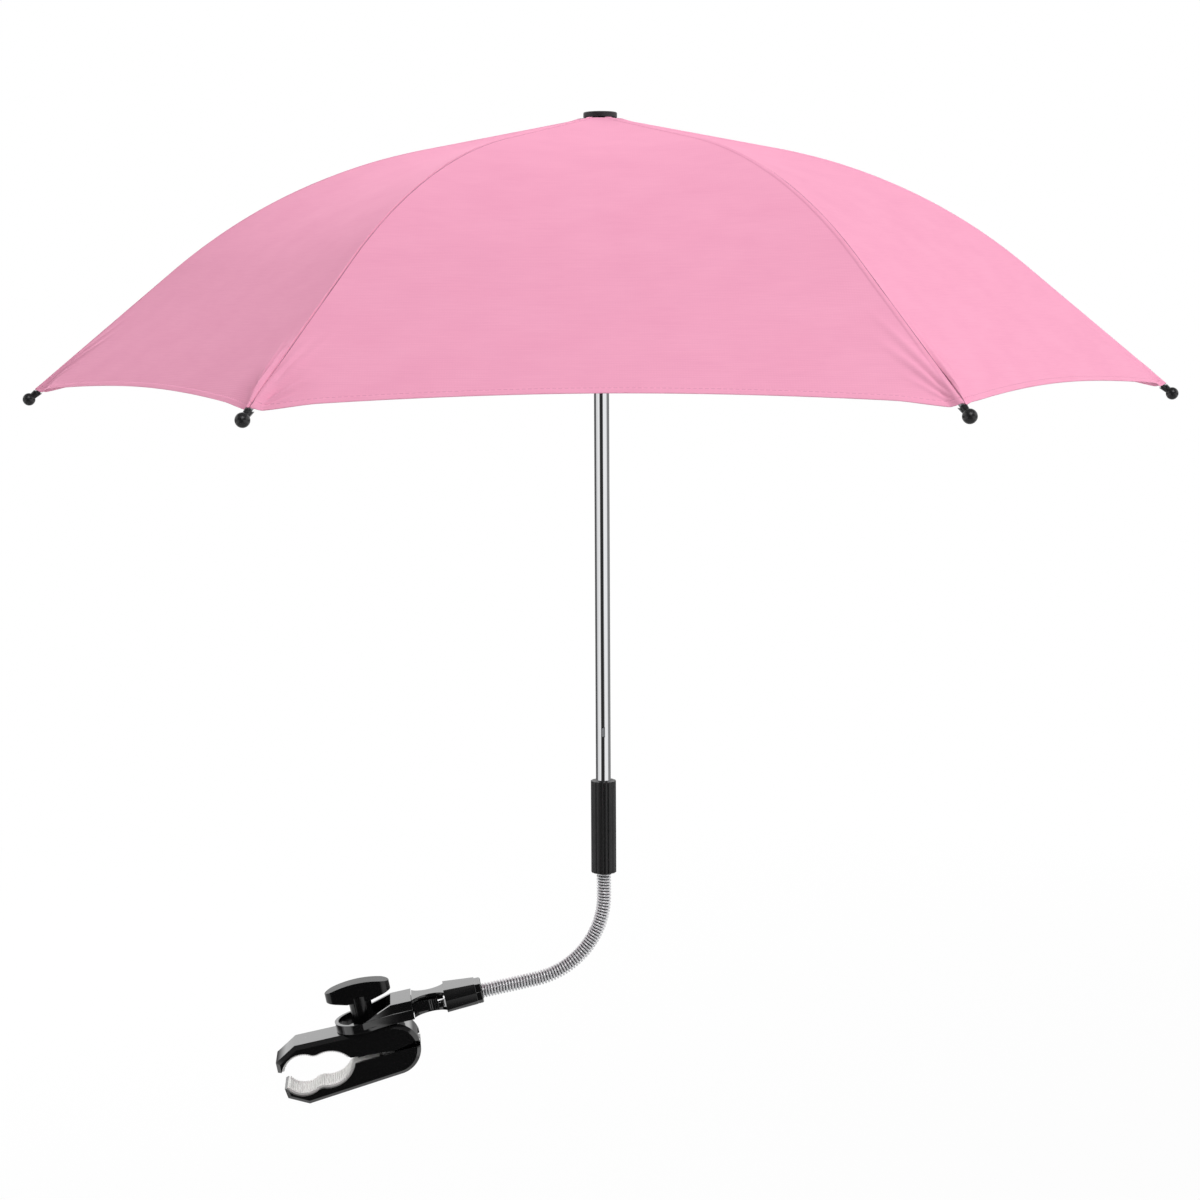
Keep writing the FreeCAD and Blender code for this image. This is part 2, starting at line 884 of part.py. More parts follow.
rib_joint = joint_frame()[2]
arm_length = (rib_joint - pivot).Length
open_angle = math.degrees(math.atan2(rib_joint.x - pivot.x, pivot.z - rib_joint.z))
runner_open = pivot.z - 2 * arm_length * math.cos(math.radians(open_angle))

# The runner closes until the ribs have folded, or until it stands on the sleeve
folded_reach = 2 * arm_length * math.cos(math.radians(open_angle - fold_angle))
runner_closed = max(pivot.z - folded_reach, sleeve_high + slack + runner_below)
runner_travel = runner_open - runner_closed
runner_pivot = Vec(pivot_radius, 0, runner_open)


def place(shape, index):
    """From a rib's own plane, drawn along +X from the pole, to its place about the pole."""
    moved = shape.copy()
    moved.translate(at_pole(0))
    return turn_about_pole(moved, canopy_phase + 360 * index / rib_count)


def tip_place(inward, above):
    """A point in the rib's plane, set in from the ball's centre and up from the rib's line."""
    return ball_centre - slope_vector(outer_slope) * inward + slope_normal(outer_slope) * above


def across_rod(point, radius, length):
    half = Vec(0, length / 2, 0)
    return rod(point - half, point + half, radius)


def rib():
    start, middle, end = profile_line(rib_drop)
    path = Part.Wire([
        Part.makeLine(pivot, start),
        arc(start, middle, end),
        Part.makeLine(end, tip_place(rib_end, 0)),
    ])
    section = Part.Wire(Part.makeCircle(rib_radius, pivot, slope_vector(inner_slope)))
    wire = path.makePipeShell([section], True, False)
    eye = across_rod(pivot, eye_radius, eye_thick)
    ball_end = eye_radius + rib_radius
    flat = box(
        pivot + Vec(-ball_end, eye_thick / 2, -ball_end),
        pivot + Vec(ball_end, eye_thick / 2 + ball_end, ball_end),
    )
    flat_other = flat.mirror(Vec(0, 0, 0), Vec(0, 1, 0))
    hole = across_rod(pivot, crown_wire_radius + eye_play, eye_thick + overrun)
    on_rib, out, joint = joint_frame()
    lug_side = out.cross(Vec(0, 1, 0)) * lug_half
    lug_edges = lines([on_rib + lug_side, on_rib - lug_side, joint - lug_side, joint + lug_side])
    lug = prism_across(lug_edges, lug_thick)
    lug_round = across_rod(joint, lug_half, lug_thick)
    rivet_hole = across_rod(joint, rivet_radius, lug_thick + overrun)
    return cut(fuse(wire, eye, lug, lug_round), flat, flat_other, hole, rivet_hole)


def tip():
    """Ball end whose neck widens into a fork at the fabric corner, pushed over the end of the rib."""
    ball = Part.makeSphere(ball_radius, ball_centre)
    inward = slope_vector(outer_slope) * -1
    neck = Part.makeCone(tip_root_radius, fork_radius, fork_lower, ball_centre, inward)
    past = fork_lower + overrun
    mouth = prism_across(lines([
        tip_place(fork_upper, fork_radius),
        tip_place(fork_lower, -fork_radius),
        tip_place(past, -fork_radius),
        tip_place(past, fork_radius),
    ]), fork_radius * 2)
    gap = prism_across(lines([
        tip_place(fork_root, 0),
        tip_place(fork_lower, fork_open),
        tip_place(fork_lower, -fork_open),
    ]), fork_radius * 2)
    bore = rod(tip_place(past, 0), tip_place(rib_end, 0), rib_radius)
    return cut(fuse(ball, neck), mouth, gap, bore)


def rivet():
    return across_rod(rib_joint, rivet_radius, lug_thick + (cheek_play + cheek_thick) * 2)


def stretcher():
    along = (runner_pivot - rib_joint).normalize()
    up = along.cross(Vec(0, 1, 0))
    cheek_in = lug_thick / 2 + cheek_play
    cheek_out = cheek_in + cheek_thick
    cheek_end = rib_joint + along * fork_length
    cheek_edges = lines([
        rib_joint + up * cheek_radius,
        cheek_end + up * cheek_radius,
        cheek_end - up * cheek_radius,
        rib_joint - up * cheek_radius,
    ])
    fork = prism_across(cheek_edges, cheek_out * 2).fuse(across_rod(rib_joint, cheek_radius, cheek_out * 2))
    gap_start = rib_joint - along * (cheek_radius + overrun)
    gap_end = rib_joint + along * fork_web
    gap_edges = lines([
        gap_start + up * (cheek_radius + overrun),
        gap_end + up * (cheek_radius + overrun),
        gap_end - up * (cheek_radius + overrun),
        gap_start - up * (cheek_radius + overrun),
    ])
    fork = fork.cut(prism_across(gap_edges, cheek_in * 2))
    hole = across_rod(rib_joint, rivet_radius + running_fit, cheek_out * 2 + overrun)
    wire = rod(rib_joint + along * fork_web, runner_pivot, stretcher_radius)
    eye = across_rod(runner_pivot, eye_radius, eye_thick)
    eye_hole = across_rod(runner_pivot, crown_wire_radius + eye_play, eye_thick + overrun)
    trim = across_rod(runner_pivot, eye_radius + rib_radius, stretcher_radius * 2 + overrun)
    trim = trim.cut(across_rod(runner_pivot, eye_radius + rib_radius + overrun, eye_thick))
    return cut(fuse(fork, wire, eye), hole, eye_hole, trim)


def notches(low, high):
    """Six slots for the ends of the ribs or stretchers."""
    half = eye_thick / 2 + slack
    slot = box(Vec(slot_floor, -half, low - overrun), Vec(crown_radius * 2, half, high + overrun))
    return [place(slot, i) for i in range(rib_count)]


def crown():
    low = pivot.z - crown_below
    high = pivot.z + crown_above
    body = pole_rod(crown_radius, low, high)
    bore = pole_rod(pole_radius, low - overrun, high + overrun)
    groove = Part.makeTorus(pivot_radius, crown_wire_radius, at_pole(pivot.z))
    return cut(body, bore, groove, *notches(low, high))


def crown_wire():
    return Part.makeTorus(pivot_radius, crown_wire_radius, at_pole(pivot.z))


pole_high = pivot.z + crown_above


def top_cap():
    low = pivot.z + cap_lift
    disc = pole_rod(cap_radius, low, low + cap_thick)
    rim = [e for e in disc.Edges if e.Length > cap_radius and abs(e.Vertexes[0].Z - low - cap_thick) < slack]
    disc = disc.makeFillet(cap_edge, rim)
    stem = pole_rod(pole_radius - pole_wall, pole_high - cap_stem, low)
    shoulder = pole_rod(pole_radius, pole_high, low)
    return fuse(disc, stem, shoulder)


def runner():
    low = runner_open - runner_below
    high = runner_open + runner_above
    body = pole_rod(runner_radius, low, high)
    bore = pole_rod(pole_radius + runner_play, low - overrun, high + overrun)
    window_low = runner_open - catch_below - slack
    window = box(
        Vec(0, -catch_width / 2 - slack, window_low),
        Vec(runner_radius + overrun, catch_width / 2 + slack, window_low + catch_tooth + slack * 2),
    )
    return cut(body, bore, place(window, rib_count - catch_turn_share), *notches(low, high))


def catch(top_z):
    """A leaf in the pole with a tooth that springs out through its window; top_z is the tooth's top."""
    half = catch_width / 2
    inner = pole_radius - pole_wall - catch_inset
    leaf = box(Vec(inner - catch_body, -half, top_z - catch_length), Vec(inner, half, top_z + catch_tooth))
    tooth = lines(side([
        (inner, top_z),
        (pole_radius + catch_out, top_z),
        (pole_radius + catch_inset, top_z - catch_tooth),
        (inner, top_z - catch_tooth),
    ]))
    return place(fuse(leaf, prism_across(tooth, catch_width)), rib_count - catch_turn_share)


def catch_window(top_z):
    half = catch_width / 2 + slack
    opening = box(
        Vec(0, -half, top_z - catch_tooth - slack),
        Vec(pole_radius + overrun, half, top_z + slack),
    )
    return place(opening, rib_count - catch_turn_share)


top_catch_z = runner_open - runner_below - slack
bottom_catch_z = runner_closed - catch_below + catch_tooth


def pole():
    tube = pole_rod(pole_radius, pole_low, pole_high)
    hollow = pole_rod(pole_radius - pole_wall, pole_low - overrun, pole_high + overrun)
    return cut(tube, hollow, catch_window(top_catch_z), catch_window(bottom_catch_z))


# Canopy fabric: two half panels hang on each rib and meet at the middle of the panel

def profile_wire(corner_r, widen, to_space):
    """The fabric's edge profile as a closed thin outline; widen scales distances from the pole."""
    start, middle, end = profile_line(0)
    points = [inner_point(0, fabric_inner), start, middle, end, outer_point(0, corner_r)]
    down = Vec(0, 0, -fabric_thick)
    upper = [to_space(Vec(p.x * widen, 0, p.z)) for p in points]
    lower = [p + down for p in upper]
    return Part.Wire([
        Part.makeLine(upper[0], upper[1]),
        arc(upper[1], upper[2], upper[3]),
        Part.makeLine(upper[3], upper[4]),
        Part.makeLine(upper[4], lower[4]),
        Part.makeLine(lower[4], lower[3]),
        arc(lower[3], lower[2], lower[1]),
        Part.makeLine(lower[1], lower[0]),
        Part.makeLine(lower[0], upper[0]),
    ])


def half_panel(sign):
    half_turn = math.pi / rib_count
    ahead = Vec(math.cos(half_turn), sign * math.sin(half_turn), 0)
    square = Vec(-math.sin(half_turn), sign * math.cos(half_turn), 0)

    def beside_rib(p):
        return Vec(p.x, sign * slack, p.z)

    def at_middle(p):
        return ahead * p.x - square * slack + Vec(0, 0, p.z)

    rib_side = profile_wire(corner_radius, 1, beside_rib)
    middle_side = profile_wire(corner_radius - hem_dip, math.cos(half_turn), at_middle)
    return Part.makeLoft([rib_side, middle_side], True, True)


def main():
    os.makedirs("parts", exist_ok=True)
    clamp_pieces = {
        "upper_jaw": upper_jaw(),
        "lower_jaw": lower_jaw(),
        "upper_pad": pad(1),
        "lower_pad": pad(-1),
        "jaw_hinge_pin": hinge_pin(),
        "clamp_knob": clamp_knob(),
        "clamp_screw": clamp_screw(),
        "clamp_nut": clamp_nut(),
        "swivel_bracket": swivel_bracket(),
        "quick_release_plug": quick_release_plug(),
        "latch_near": latch(-1),
        "latch_far": latch(1),
    }
    for name, shape in clamp_pieces.items():
        save(name, tilt(shape))
    upright_pieces = {
        "gooseneck_spring": gooseneck_spring(),
        "gooseneck_core": gooseneck_core(),
        "sleeve": sleeve(),
        "pole": pole(),
        "crown": crown(),
        "crown_wire": crown_wire(),
        "top_cap": top_cap(),
        "runner": runner(),
        "top_catch": catch(top_catch_z),
        "bottom_catch": catch(bottom_catch_z),
    }
    for name, shape in upright_pieces.items():
        save(name, shape)
    rib_pieces = {
        "rib": rib(),
        "tip": tip(),
        "rivet": rivet(),
        "stretcher": stretcher(),
        "panel_left": half_panel(-1),
        "panel_right": half_panel(1),
    }
    for name, shape in rib_pieces.items():
        for i in range(rib_count):
            save(name + "_" + str(i + 1), place(shape, i))


main()
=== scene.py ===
import bpy
import math
import random
from mathutils import Matrix, Vector


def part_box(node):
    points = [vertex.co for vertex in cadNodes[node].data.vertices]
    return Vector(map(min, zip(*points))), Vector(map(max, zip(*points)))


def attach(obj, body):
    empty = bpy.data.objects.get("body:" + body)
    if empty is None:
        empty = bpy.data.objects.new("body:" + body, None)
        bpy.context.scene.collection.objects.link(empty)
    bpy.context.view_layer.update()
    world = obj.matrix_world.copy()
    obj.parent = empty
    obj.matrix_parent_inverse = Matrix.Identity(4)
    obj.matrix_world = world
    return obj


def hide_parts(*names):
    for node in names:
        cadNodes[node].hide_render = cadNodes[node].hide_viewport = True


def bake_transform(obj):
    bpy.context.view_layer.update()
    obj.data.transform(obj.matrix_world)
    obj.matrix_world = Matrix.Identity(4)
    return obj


# A clip-on pram parasol: tube clamp, gooseneck, pole and a six-rib fabric canopy.
# Piece sizes are in millimetres, as in the CAD, and turned to metres where a mesh is made.
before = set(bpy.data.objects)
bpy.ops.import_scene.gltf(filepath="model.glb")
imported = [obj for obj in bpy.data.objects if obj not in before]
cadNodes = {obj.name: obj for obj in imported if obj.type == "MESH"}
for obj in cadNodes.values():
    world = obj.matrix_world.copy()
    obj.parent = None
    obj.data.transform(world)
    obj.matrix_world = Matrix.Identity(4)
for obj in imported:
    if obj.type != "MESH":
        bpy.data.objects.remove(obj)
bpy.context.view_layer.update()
scene = bpy.context.scene
scene.view_settings.view_transform = "Standard"
mm = 0.001
print("frame loaded,", len(cadNodes), "nodes")


# Small tools: gaps are in millimetres and angles in degrees

tools = {"mergeGap": 0.002, "planeGap": 0.02, "flatAngle": 0.5, "bevelAngle": 32, "smoothAngle": 35}


def takeUp(obj):
    bpy.ops.object.select_all(action="DESELECT")
    obj.select_set(True)
    bpy.context.view_layer.objects.active = obj
    return obj


def newest(name):
    obj = bpy.context.view_layer.objects.active
    obj.name = name
    obj.data.name = name
    return takeUp(obj)


def editAll():
    bpy.ops.object.mode_set(mode="EDIT")
    bpy.ops.mesh.select_all(action="SELECT")


def leaveEdit():
    bpy.ops.object.mode_set(mode="OBJECT")


def closeUp(obj):
    takeUp(obj)
    editAll()
    bpy.ops.mesh.remove_doubles(threshold=tools["mergeGap"] * mm)
    bpy.ops.mesh.normals_make_consistent(inside=False)
    leaveEdit()
    return obj


def applied(obj, kind, **settings):
    takeUp(obj)
    modifier = obj.modifiers.new(kind.title(), kind)
    for key, value in settings.items():
        setattr(modifier, key, value)
    bpy.ops.object.modifier_apply(modifier=modifier.name)
    return obj


def smoothShade(obj, degrees=tools["smoothAngle"]):
    takeUp(obj)
    bpy.ops.object.shade_smooth_by_angle(angle=math.radians(degrees))
    return obj


def evenShade(obj):
    # large faces keep their own normals, so that only the rounded edges shade smoothly
    smoothShade(obj)
    return applied(obj, "WEIGHTED_NORMAL", keep_sharp=True)


def reshape(obj, place):
    # every point is moved by place(x, y, z), which takes and gives millimetres
    for vertex in obj.data.vertices:
        vertex.co = Vector(place(*(vertex.co / mm))) * mm
    obj.data.update()
    return obj


def moveBy(obj, matrix):
    obj.data.transform(matrix)
    obj.data.update()
    return obj


def dress(obj, material, nodes):
    obj.data.materials.clear()
    obj.data.materials.append(material)
    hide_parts(*nodes)
    return obj


def cleanCopy(node):
    # a CAD node's triangles are merged and its flat faces made whole
    obj = bpy.data.objects.new("soft_" + node, cadNodes[node].data.copy())
    scene.collection.objects.link(obj)
    takeUp(obj)
    editAll()
    bpy.ops.mesh.customdata_custom_splitnormals_clear()
    bpy.ops.mesh.remove_doubles(threshold=tools["mergeGap"] * mm)
    bpy.ops.mesh.dissolve_limited(angle_limit=math.radians(tools["flatAngle"]))
    leaveEdit()
    return obj


def roundEdges(obj, width, segments, pick):
    # bevels the edges whose two ends pick(start, end) takes, before the small edges are softened
    takeUp(obj)
    editAll()
    bpy.ops.mesh.select_all(action="DESELECT")
    bpy.ops.mesh.select_mode(type="EDGE")
    leaveEdit()
    points = obj.data.vertices
    for edge in obj.data.edges:
        edge.select = bool(pick(points[edge.vertices[0]].co, points[edge.vertices[1]].co))
    bpy.ops.object.mode_set(mode="EDIT")
    bpy.ops.mesh.bevel(offset=width * mm, segments=segments, affect="EDGES", clamp_overlap=True)
    bpy.ops.mesh.select_mode(type="VERT")
    leaveEdit()
    return obj


def soften(obj, width, segments=3):
    # sharp edges are rounded, so that they catch the light
    if width:
        applied(obj, "BEVEL", width=width * mm, segments=segments, limit_method="ANGLE",
                angle_limit=math.radians(tools["bevelAngle"]), use_clamp_overlap=True,
                miter_outer="MITER_ARC")
    return evenShade(obj)


def grid(name, across, along):
    bpy.ops.mesh.primitive_grid_add(x_subdivisions=across, y_subdivisions=along, size=mm)
    return newest(name)


def drawnOut(name, outline, start, reach):
    # an outline on a circle's points, moved to their places, filled and drawn out by extruding
    bpy.ops.mesh.primitive_circle_add(vertices=len(outline), radius=mm, fill_type="NGON")
    obj = newest(name)
    for vertex, point in zip(obj.data.vertices, outline):
        vertex.co = (Vector(point) + Vector(start)) * mm
    editAll()
    bpy.ops.mesh.extrude_region_move(TRANSFORM_OT_translate={"value": Vector(reach) * mm})
    leaveEdit()
    return closeUp(obj)


def score(obj, point, normal, width, depth, within):
    # a fine groove where a plane crosses the piece, on the points that within(place) picks
    takeUp(obj)
    editAll()
    bpy.ops.mesh.customdata_custom_splitnormals_clear()
    bpy.ops.mesh.bisect(plane_co=point, plane_no=normal)
    bpy.ops.mesh.bevel(offset=width / 2 * mm, segments=2, affect="EDGES")
    bpy.ops.mesh.select_all(action="DESELECT")
    leaveEdit()
    for vertex in obj.data.vertices:
        onPlane = abs((vertex.co - point).dot(normal)) < tools["planeGap"] * mm
        vertex.select = onPlane and within(vertex.co)
    bpy.ops.object.mode_set(mode="EDIT")
    bpy.ops.transform.shrink_fatten(value=-depth * mm)
    leaveEdit()
    return evenShade(obj)


def carve(obj, cutter, way="DIFFERENCE"):
    takeUp(obj)
    modifier = obj.modifiers.new("Cut", "BOOLEAN")
    modifier.object = cutter
    modifier.operation = way
    modifier.solver = "EXACT"
    bpy.ops.object.modifier_apply(modifier=modifier.name)
    bpy.data.objects.remove(cutter)
    return obj


def ease(x):
    x = min(max(x, 0), 1)
    return x * x * (3 - 2 * x)


# Materials

def linear(hexColour):
    channels = [int(hexColour[i:i + 2], 16) / 255 for i in (1, 3, 5)]
    return [c / 12.92 if c <= 0.04045 else ((c + 0.055) / 1.055) ** 2.4 for c in channels] + [1]


def addNode(tree, kind, settings=None, links=None):
    # lower-case names are the node's own settings, others are its sockets
    node = tree.nodes.new(kind)
    for key, value in (settings or {}).items():
        if isinstance(key, str) and key[0].islower():
            setattr(node, key, value)
        else:
            node.inputs[key].default_value = value
    for key, socket in (links or {}).items():
        tree.links.new(socket, node.inputs[key])
    return node


def startMaterial(name, **sockets):
    material = bpy.data.materials.new(name)
    material.use_nodes = True
    tree = material.node_tree
    shader = tree.nodes["Principled BSDF"]
    for key, value in sockets.items():
        shader.inputs[key.replace("_", " ")].default_value = value
    return material, tree, shader


def bandScale(pitch):
    # a wave texture repeats every 2 pi / 20 of its scale; pitch is in millimetres
    return math.tau / 20 / (pitch * mm)


# threads are about 0.3 mm apart, drawn at 1.4 mm, because finer ones don't show
# the shadow colour is painted shade, laid into the seam crease and the hem's stitch row
cloth = {
    "threadPitch": 1.4, "slubs": (45, 700, 1), "clouds": (26, 34, 1), "relief": 0.08, "reliefDeep": 0.4,
    "darkDye": "#eb9ebb", "lightDye": "#f1a6c2", "sheen": "#f3a9c5", "shadow": "#613a4b",
    "stitchPitch": 3.2, "stitchGap": 0.3, "stitchHalf": 0.3, "stitchShade": 0.22,
    "creaseAt": 0.7, "creaseHalf": 0.5,
}


def makePongee():
    # Polyester pongee, plain woven and dyed pink: matt with a soft sheen, fine threads and faint slubs. Seams
    # and hems are sewn, with painted shade in the seam crease and along the hem's stitch row.
    material, tree, shader = startMaterial("polyesterPongee", Roughness=0.75, Sheen_Weight=0.05,
                                           Sheen_Roughness=0.5, Sheen_Tint=linear(cloth["sheen"]),
                                           Specular_IOR_Level=0.15)
    weaveMap = addNode(tree, "ShaderNodeUVMap", {"uv_map": "weave"}).outputs[0]
    edgeMap = addNode(tree, "ShaderNodeUVMap", {"uv_map": "edges"}).outputs[0]
    bands = bandScale(cloth["threadPitch"])
    weft = addNode(tree, "ShaderNodeTexWave", {"bands_direction": "Y", "Scale": bands,
                                               "Distortion": 0.9, "Detail": 1.0}, {"Vector": weaveMap})
    warp = addNode(tree, "ShaderNodeTexWave", {"bands_direction": "X", "Scale": bands,
                                               "Distortion": 0.8, "Detail": 1.0}, {"Vector": weaveMap})
    faintWarp = addNode(tree, "ShaderNodeMapRange", {"To Min": 0.4, "To Max": 1.0},
                        {"Value": warp.outputs["Fac"]})
    threads = addNode(tree, "ShaderNodeMath", {"operation": "MULTIPLY"},
                      {0: weft.outputs["Fac"], 1: faintWarp.outputs[0]})
    slubPlace = addNode(tree, "ShaderNodeMapping", {"Scale": cloth["slubs"]}, {"Vector": weaveMap})
    slubs = addNode(tree, "ShaderNodeTexNoise", {"Scale": 1.0, "Detail": 3.0, "Roughness": 0.6},
                    {"Vector": slubPlace.outputs[0]})
    cloudPlace = addNode(tree, "ShaderNodeMapping", {"Scale": cloth["clouds"]}, {"Vector": weaveMap})
    clouds = addNode(tree, "ShaderNodeTexNoise", {"Scale": 1.0, "Detail": 4.0},
                     {"Vector": cloudPlace.outputs[0]})
    tones = addNode(tree, "ShaderNodeMix", {"data_type": "FLOAT", 0: 0.5},
                    {2: slubs.outputs["Fac"], 3: clouds.outputs["Fac"]})
    dye = addNode(tree, "ShaderNodeValToRGB", None, {"Fac": tones.outputs[0]})
    dye.color_ramp.elements[0].position = 0.3
    dye.color_ramp.elements[0].color = linear(cloth["darkDye"])
    dye.color_ramp.elements[1].position = 0.7
    dye.color_ramp.elements[1].color = linear(cloth["lightDye"])
    thin = addNode(tree, "ShaderNodeMapRange", {"To Min": 0.985, "To Max": 1.015},
                   {"Value": threads.outputs[0]})
    woven = addNode(tree, "ShaderNodeMix", {"data_type": "RGBA", "blend_type": "MULTIPLY", 0: 1.0},
                    {6: dye.outputs[0], 7: thin.outputs[0]})
    # painted shade in the seam crease at the rib, and a broken stitch row above the hem, darkened partly as
    # thread and partly as painted shade
    fromEdge = addNode(tree, "ShaderNodeSeparateXYZ", None, {0: edgeMap})
    crease = addNode(tree, "ShaderNodeMath", {"operation": "COMPARE", 1: cloth["creaseAt"] * mm,
                                              2: cloth["creaseHalf"] * mm}, {0: fromEdge.outputs["X"]})
    hemRow = addNode(tree, "ShaderNodeMath", {"operation": "COMPARE", 1: canopy["hemBand"] * mm,
                                              2: cloth["stitchHalf"] * mm}, {0: fromEdge.outputs["Y"]})
    dashes = addNode(tree, "ShaderNodeTexWave", {"bands_direction": "X",
                                                 "Scale": bandScale(cloth["stitchPitch"])},
                     {"Vector": weaveMap})
    dash = addNode(tree, "ShaderNodeMath", {"operation": "GREATER_THAN", 1: cloth["stitchGap"]},
                   {0: dashes.outputs["Fac"]})
    # the stitch dashes darken toward the shadow colour: partly the thread's own colour, partly painted shade
    stitches = addNode(tree, "ShaderNodeMath", {"operation": "MULTIPLY"},
                       {0: hemRow.outputs[0], 1: dash.outputs[0]})
    hemShade = addNode(tree, "ShaderNodeMath", {"operation": "MULTIPLY", 1: cloth["stitchShade"]},
                       {0: stitches.outputs[0]})
    creaseShadeVaries = addNode(tree, "ShaderNodeMapRange", {"From Min": 0.35, "From Max": 0.6,
                                                  "To Min": 0.45, "To Max": 0.95},
                     {"Value": clouds.outputs["Fac"]})
    creaseShade = addNode(tree, "ShaderNodeMath", {"operation": "MULTIPLY"},
                          {0: crease.outputs[0], 1: creaseShadeVaries.outputs[0]})
    shade = addNode(tree, "ShaderNodeMath", {"operation": "MAXIMUM"},
                    {0: hemShade.outputs[0], 1: creaseShade.outputs[0]})
    # the shadow colour is mixed in here as painted shade along the crease and the stitch row
    paintedShadeMix = addNode(tree, "ShaderNodeMix", {"data_type": "RGBA", 7: linear(cloth["shadow"])},
                     {0: shade.outputs[0], 6: woven.outputs[2]})
    tree.links.new(paintedShadeMix.outputs[2], shader.inputs["Base Color"])
    relief = addNode(tree, "ShaderNodeMath", {"operation": "MULTIPLY_ADD", 1: 0.6},
                     {0: slubs.outputs["Fac"], 2: threads.outputs[0]})
    bump = addNode(tree, "ShaderNodeBump", {"Strength": cloth["relief"],
                                            "Distance": cloth["reliefDeep"] * mm},
                   {"Height": relief.outputs[0]})
    tree.links.new(bump.outputs[0], shader.inputs["Normal"])
    return material


def makeMoulding(name, colour, roughness, grit, depth, coat=0.0):
    # Injection-moulded plastic, black or nearly so: smooth skin with a faint mould texture and
    # slight gloss changes. The grit is in millimetres.
    material, tree, shader = startMaterial(name, Base_Color=linear(colour), IOR=1.49,
                                           Coat_Weight=coat, Coat_Roughness=0.06)
    place = addNode(tree, "ShaderNodeTexCoord").outputs["Object"]
    skin = addNode(tree, "ShaderNodeTexNoise", {"Scale": 1 / (grit * mm), "Detail": 3.0},
                   {"Vector": place})
    wear = addNode(tree, "ShaderNodeTexNoise", {"Scale": 60.0, "Detail": 5.0}, {"Vector": place})
    gloss = addNode(tree, "ShaderNodeMapRange", {"From Min": 0.3, "From Max": 0.7,
                                                 "To Min": roughness * 0.8, "To Max": roughness * 1.25},
                    {"Value": wear.outputs["Fac"]})
    tree.links.new(gloss.outputs[0], shader.inputs["Roughness"])
    bump = addNode(tree, "ShaderNodeBump", {"Strength": depth, "Distance": 0.3 * mm},
                   {"Height": skin.outputs["Fac"]})
    tree.links.new(bump.outputs[0], shader.inputs["Normal"])
    return material


def makeMetal(name, colour, roughness, streak, metallic=1.0, change=0.25):
    # Plated or bare steel: bright, with fine draw lines along the piece or an even grain, which
    # change the gloss a little.
    material, tree, shader = startMaterial(name, Base_Color=linear(colour), Metallic=metallic)
    place = addNode(tree, "ShaderNodeTexCoord").outputs["Object"]
    drawn = addNode(tree, "ShaderNodeMapping", {"Scale": streak}, {"Vector": place})
    lines = addNode(tree, "ShaderNodeTexNoise", {"Scale": 1.0, "Detail": 4.0}, {"Vector": drawn.outputs[0]})
    gloss = addNode(tree, "ShaderNodeMapRange", {"From Min": 0.25, "From Max": 0.75,
                                                 "To Min": roughness * (1 - change),
                                                 "To Max": roughness * (1 + change)},
                    {"Value": lines.outputs["Fac"]})
    tree.links.new(gloss.outputs[0], shader.inputs["Roughness"])
    return material


def makePadRubber():
    # Thermoplastic rubber, moulded pale grey: dull, a little uneven in tone.
    material, tree, shader = startMaterial("paleRubber", Roughness=0.6, IOR=1.52)
    place = addNode(tree, "ShaderNodeTexCoord").outputs["Object"]
    dirt = addNode(tree, "ShaderNodeTexNoise", {"Scale": 180.0, "Detail": 5.0}, {"Vector": place})
    tint = addNode(tree, "ShaderNodeValToRGB", None, {"Fac": dirt.outputs["Fac"]})
    tint.color_ramp.elements[0].position = 0.3
    tint.color_ramp.elements[0].color = linear("#e0e0de")
    tint.color_ramp.elements[1].position = 0.65
    tint.color_ramp.elements[1].color = linear("#eeeeec")
    tree.links.new(tint.outputs[0], shader.inputs["Base Color"])
    bump = addNode(tree, "ShaderNodeBump", {"Strength": 0.2, "Distance": 0.2 * mm},
                   {"Height": dirt.outputs["Fac"]})
    tree.links.new(bump.outputs[0], shader.inputs["Normal"])
    return material


glossAbs = makeMoulding("polishedAbs", "#09090a", 0.09, 1.2, 0.03, coat=1.0)
satinNylon = makeMoulding("satinNylon", "#0b0b0c", 0.2, 0.7, 0.06)
sleevePolymer = makeMoulding("flutedPolypropylene", "#141415", 0.38, 0.8, 0.12)
tipNylon = makeMoulding("tipNylon", "#232324", 0.26, 0.6, 0.06)
fittingNylon = makeMoulding("fittingNylon", "#161617", 0.42, 0.7, 0.12)
capNylon = makeMoulding("capNylon", "#2c2c2e", 0.5, 0.7, 0.12)
padRubber = makePadRubber()
chrome = makeMetal("chromePlate", "#e9eaec", 0.07, (900, 900, 12))
springSteel = makeMetal("springSteel", "#eeeff1", 0.3, (500, 500, 500), metallic=0.55)
ribSteel = makeMetal("zincPlatedSteel", "#a9abae", 0.3, (400, 400, 400))
pinSteel = makeMetal("turnedSteel", "#b9bbbe", 0.26, (700, 700, 700))
coreSteel = makeMetal("dullSteel", "#808183", 0.45, (300, 300, 300), metallic=0.8)
print("materials made")


# Canopy fabric: twelve half panels, two on each rib, which meet at the panel's middle without a seam

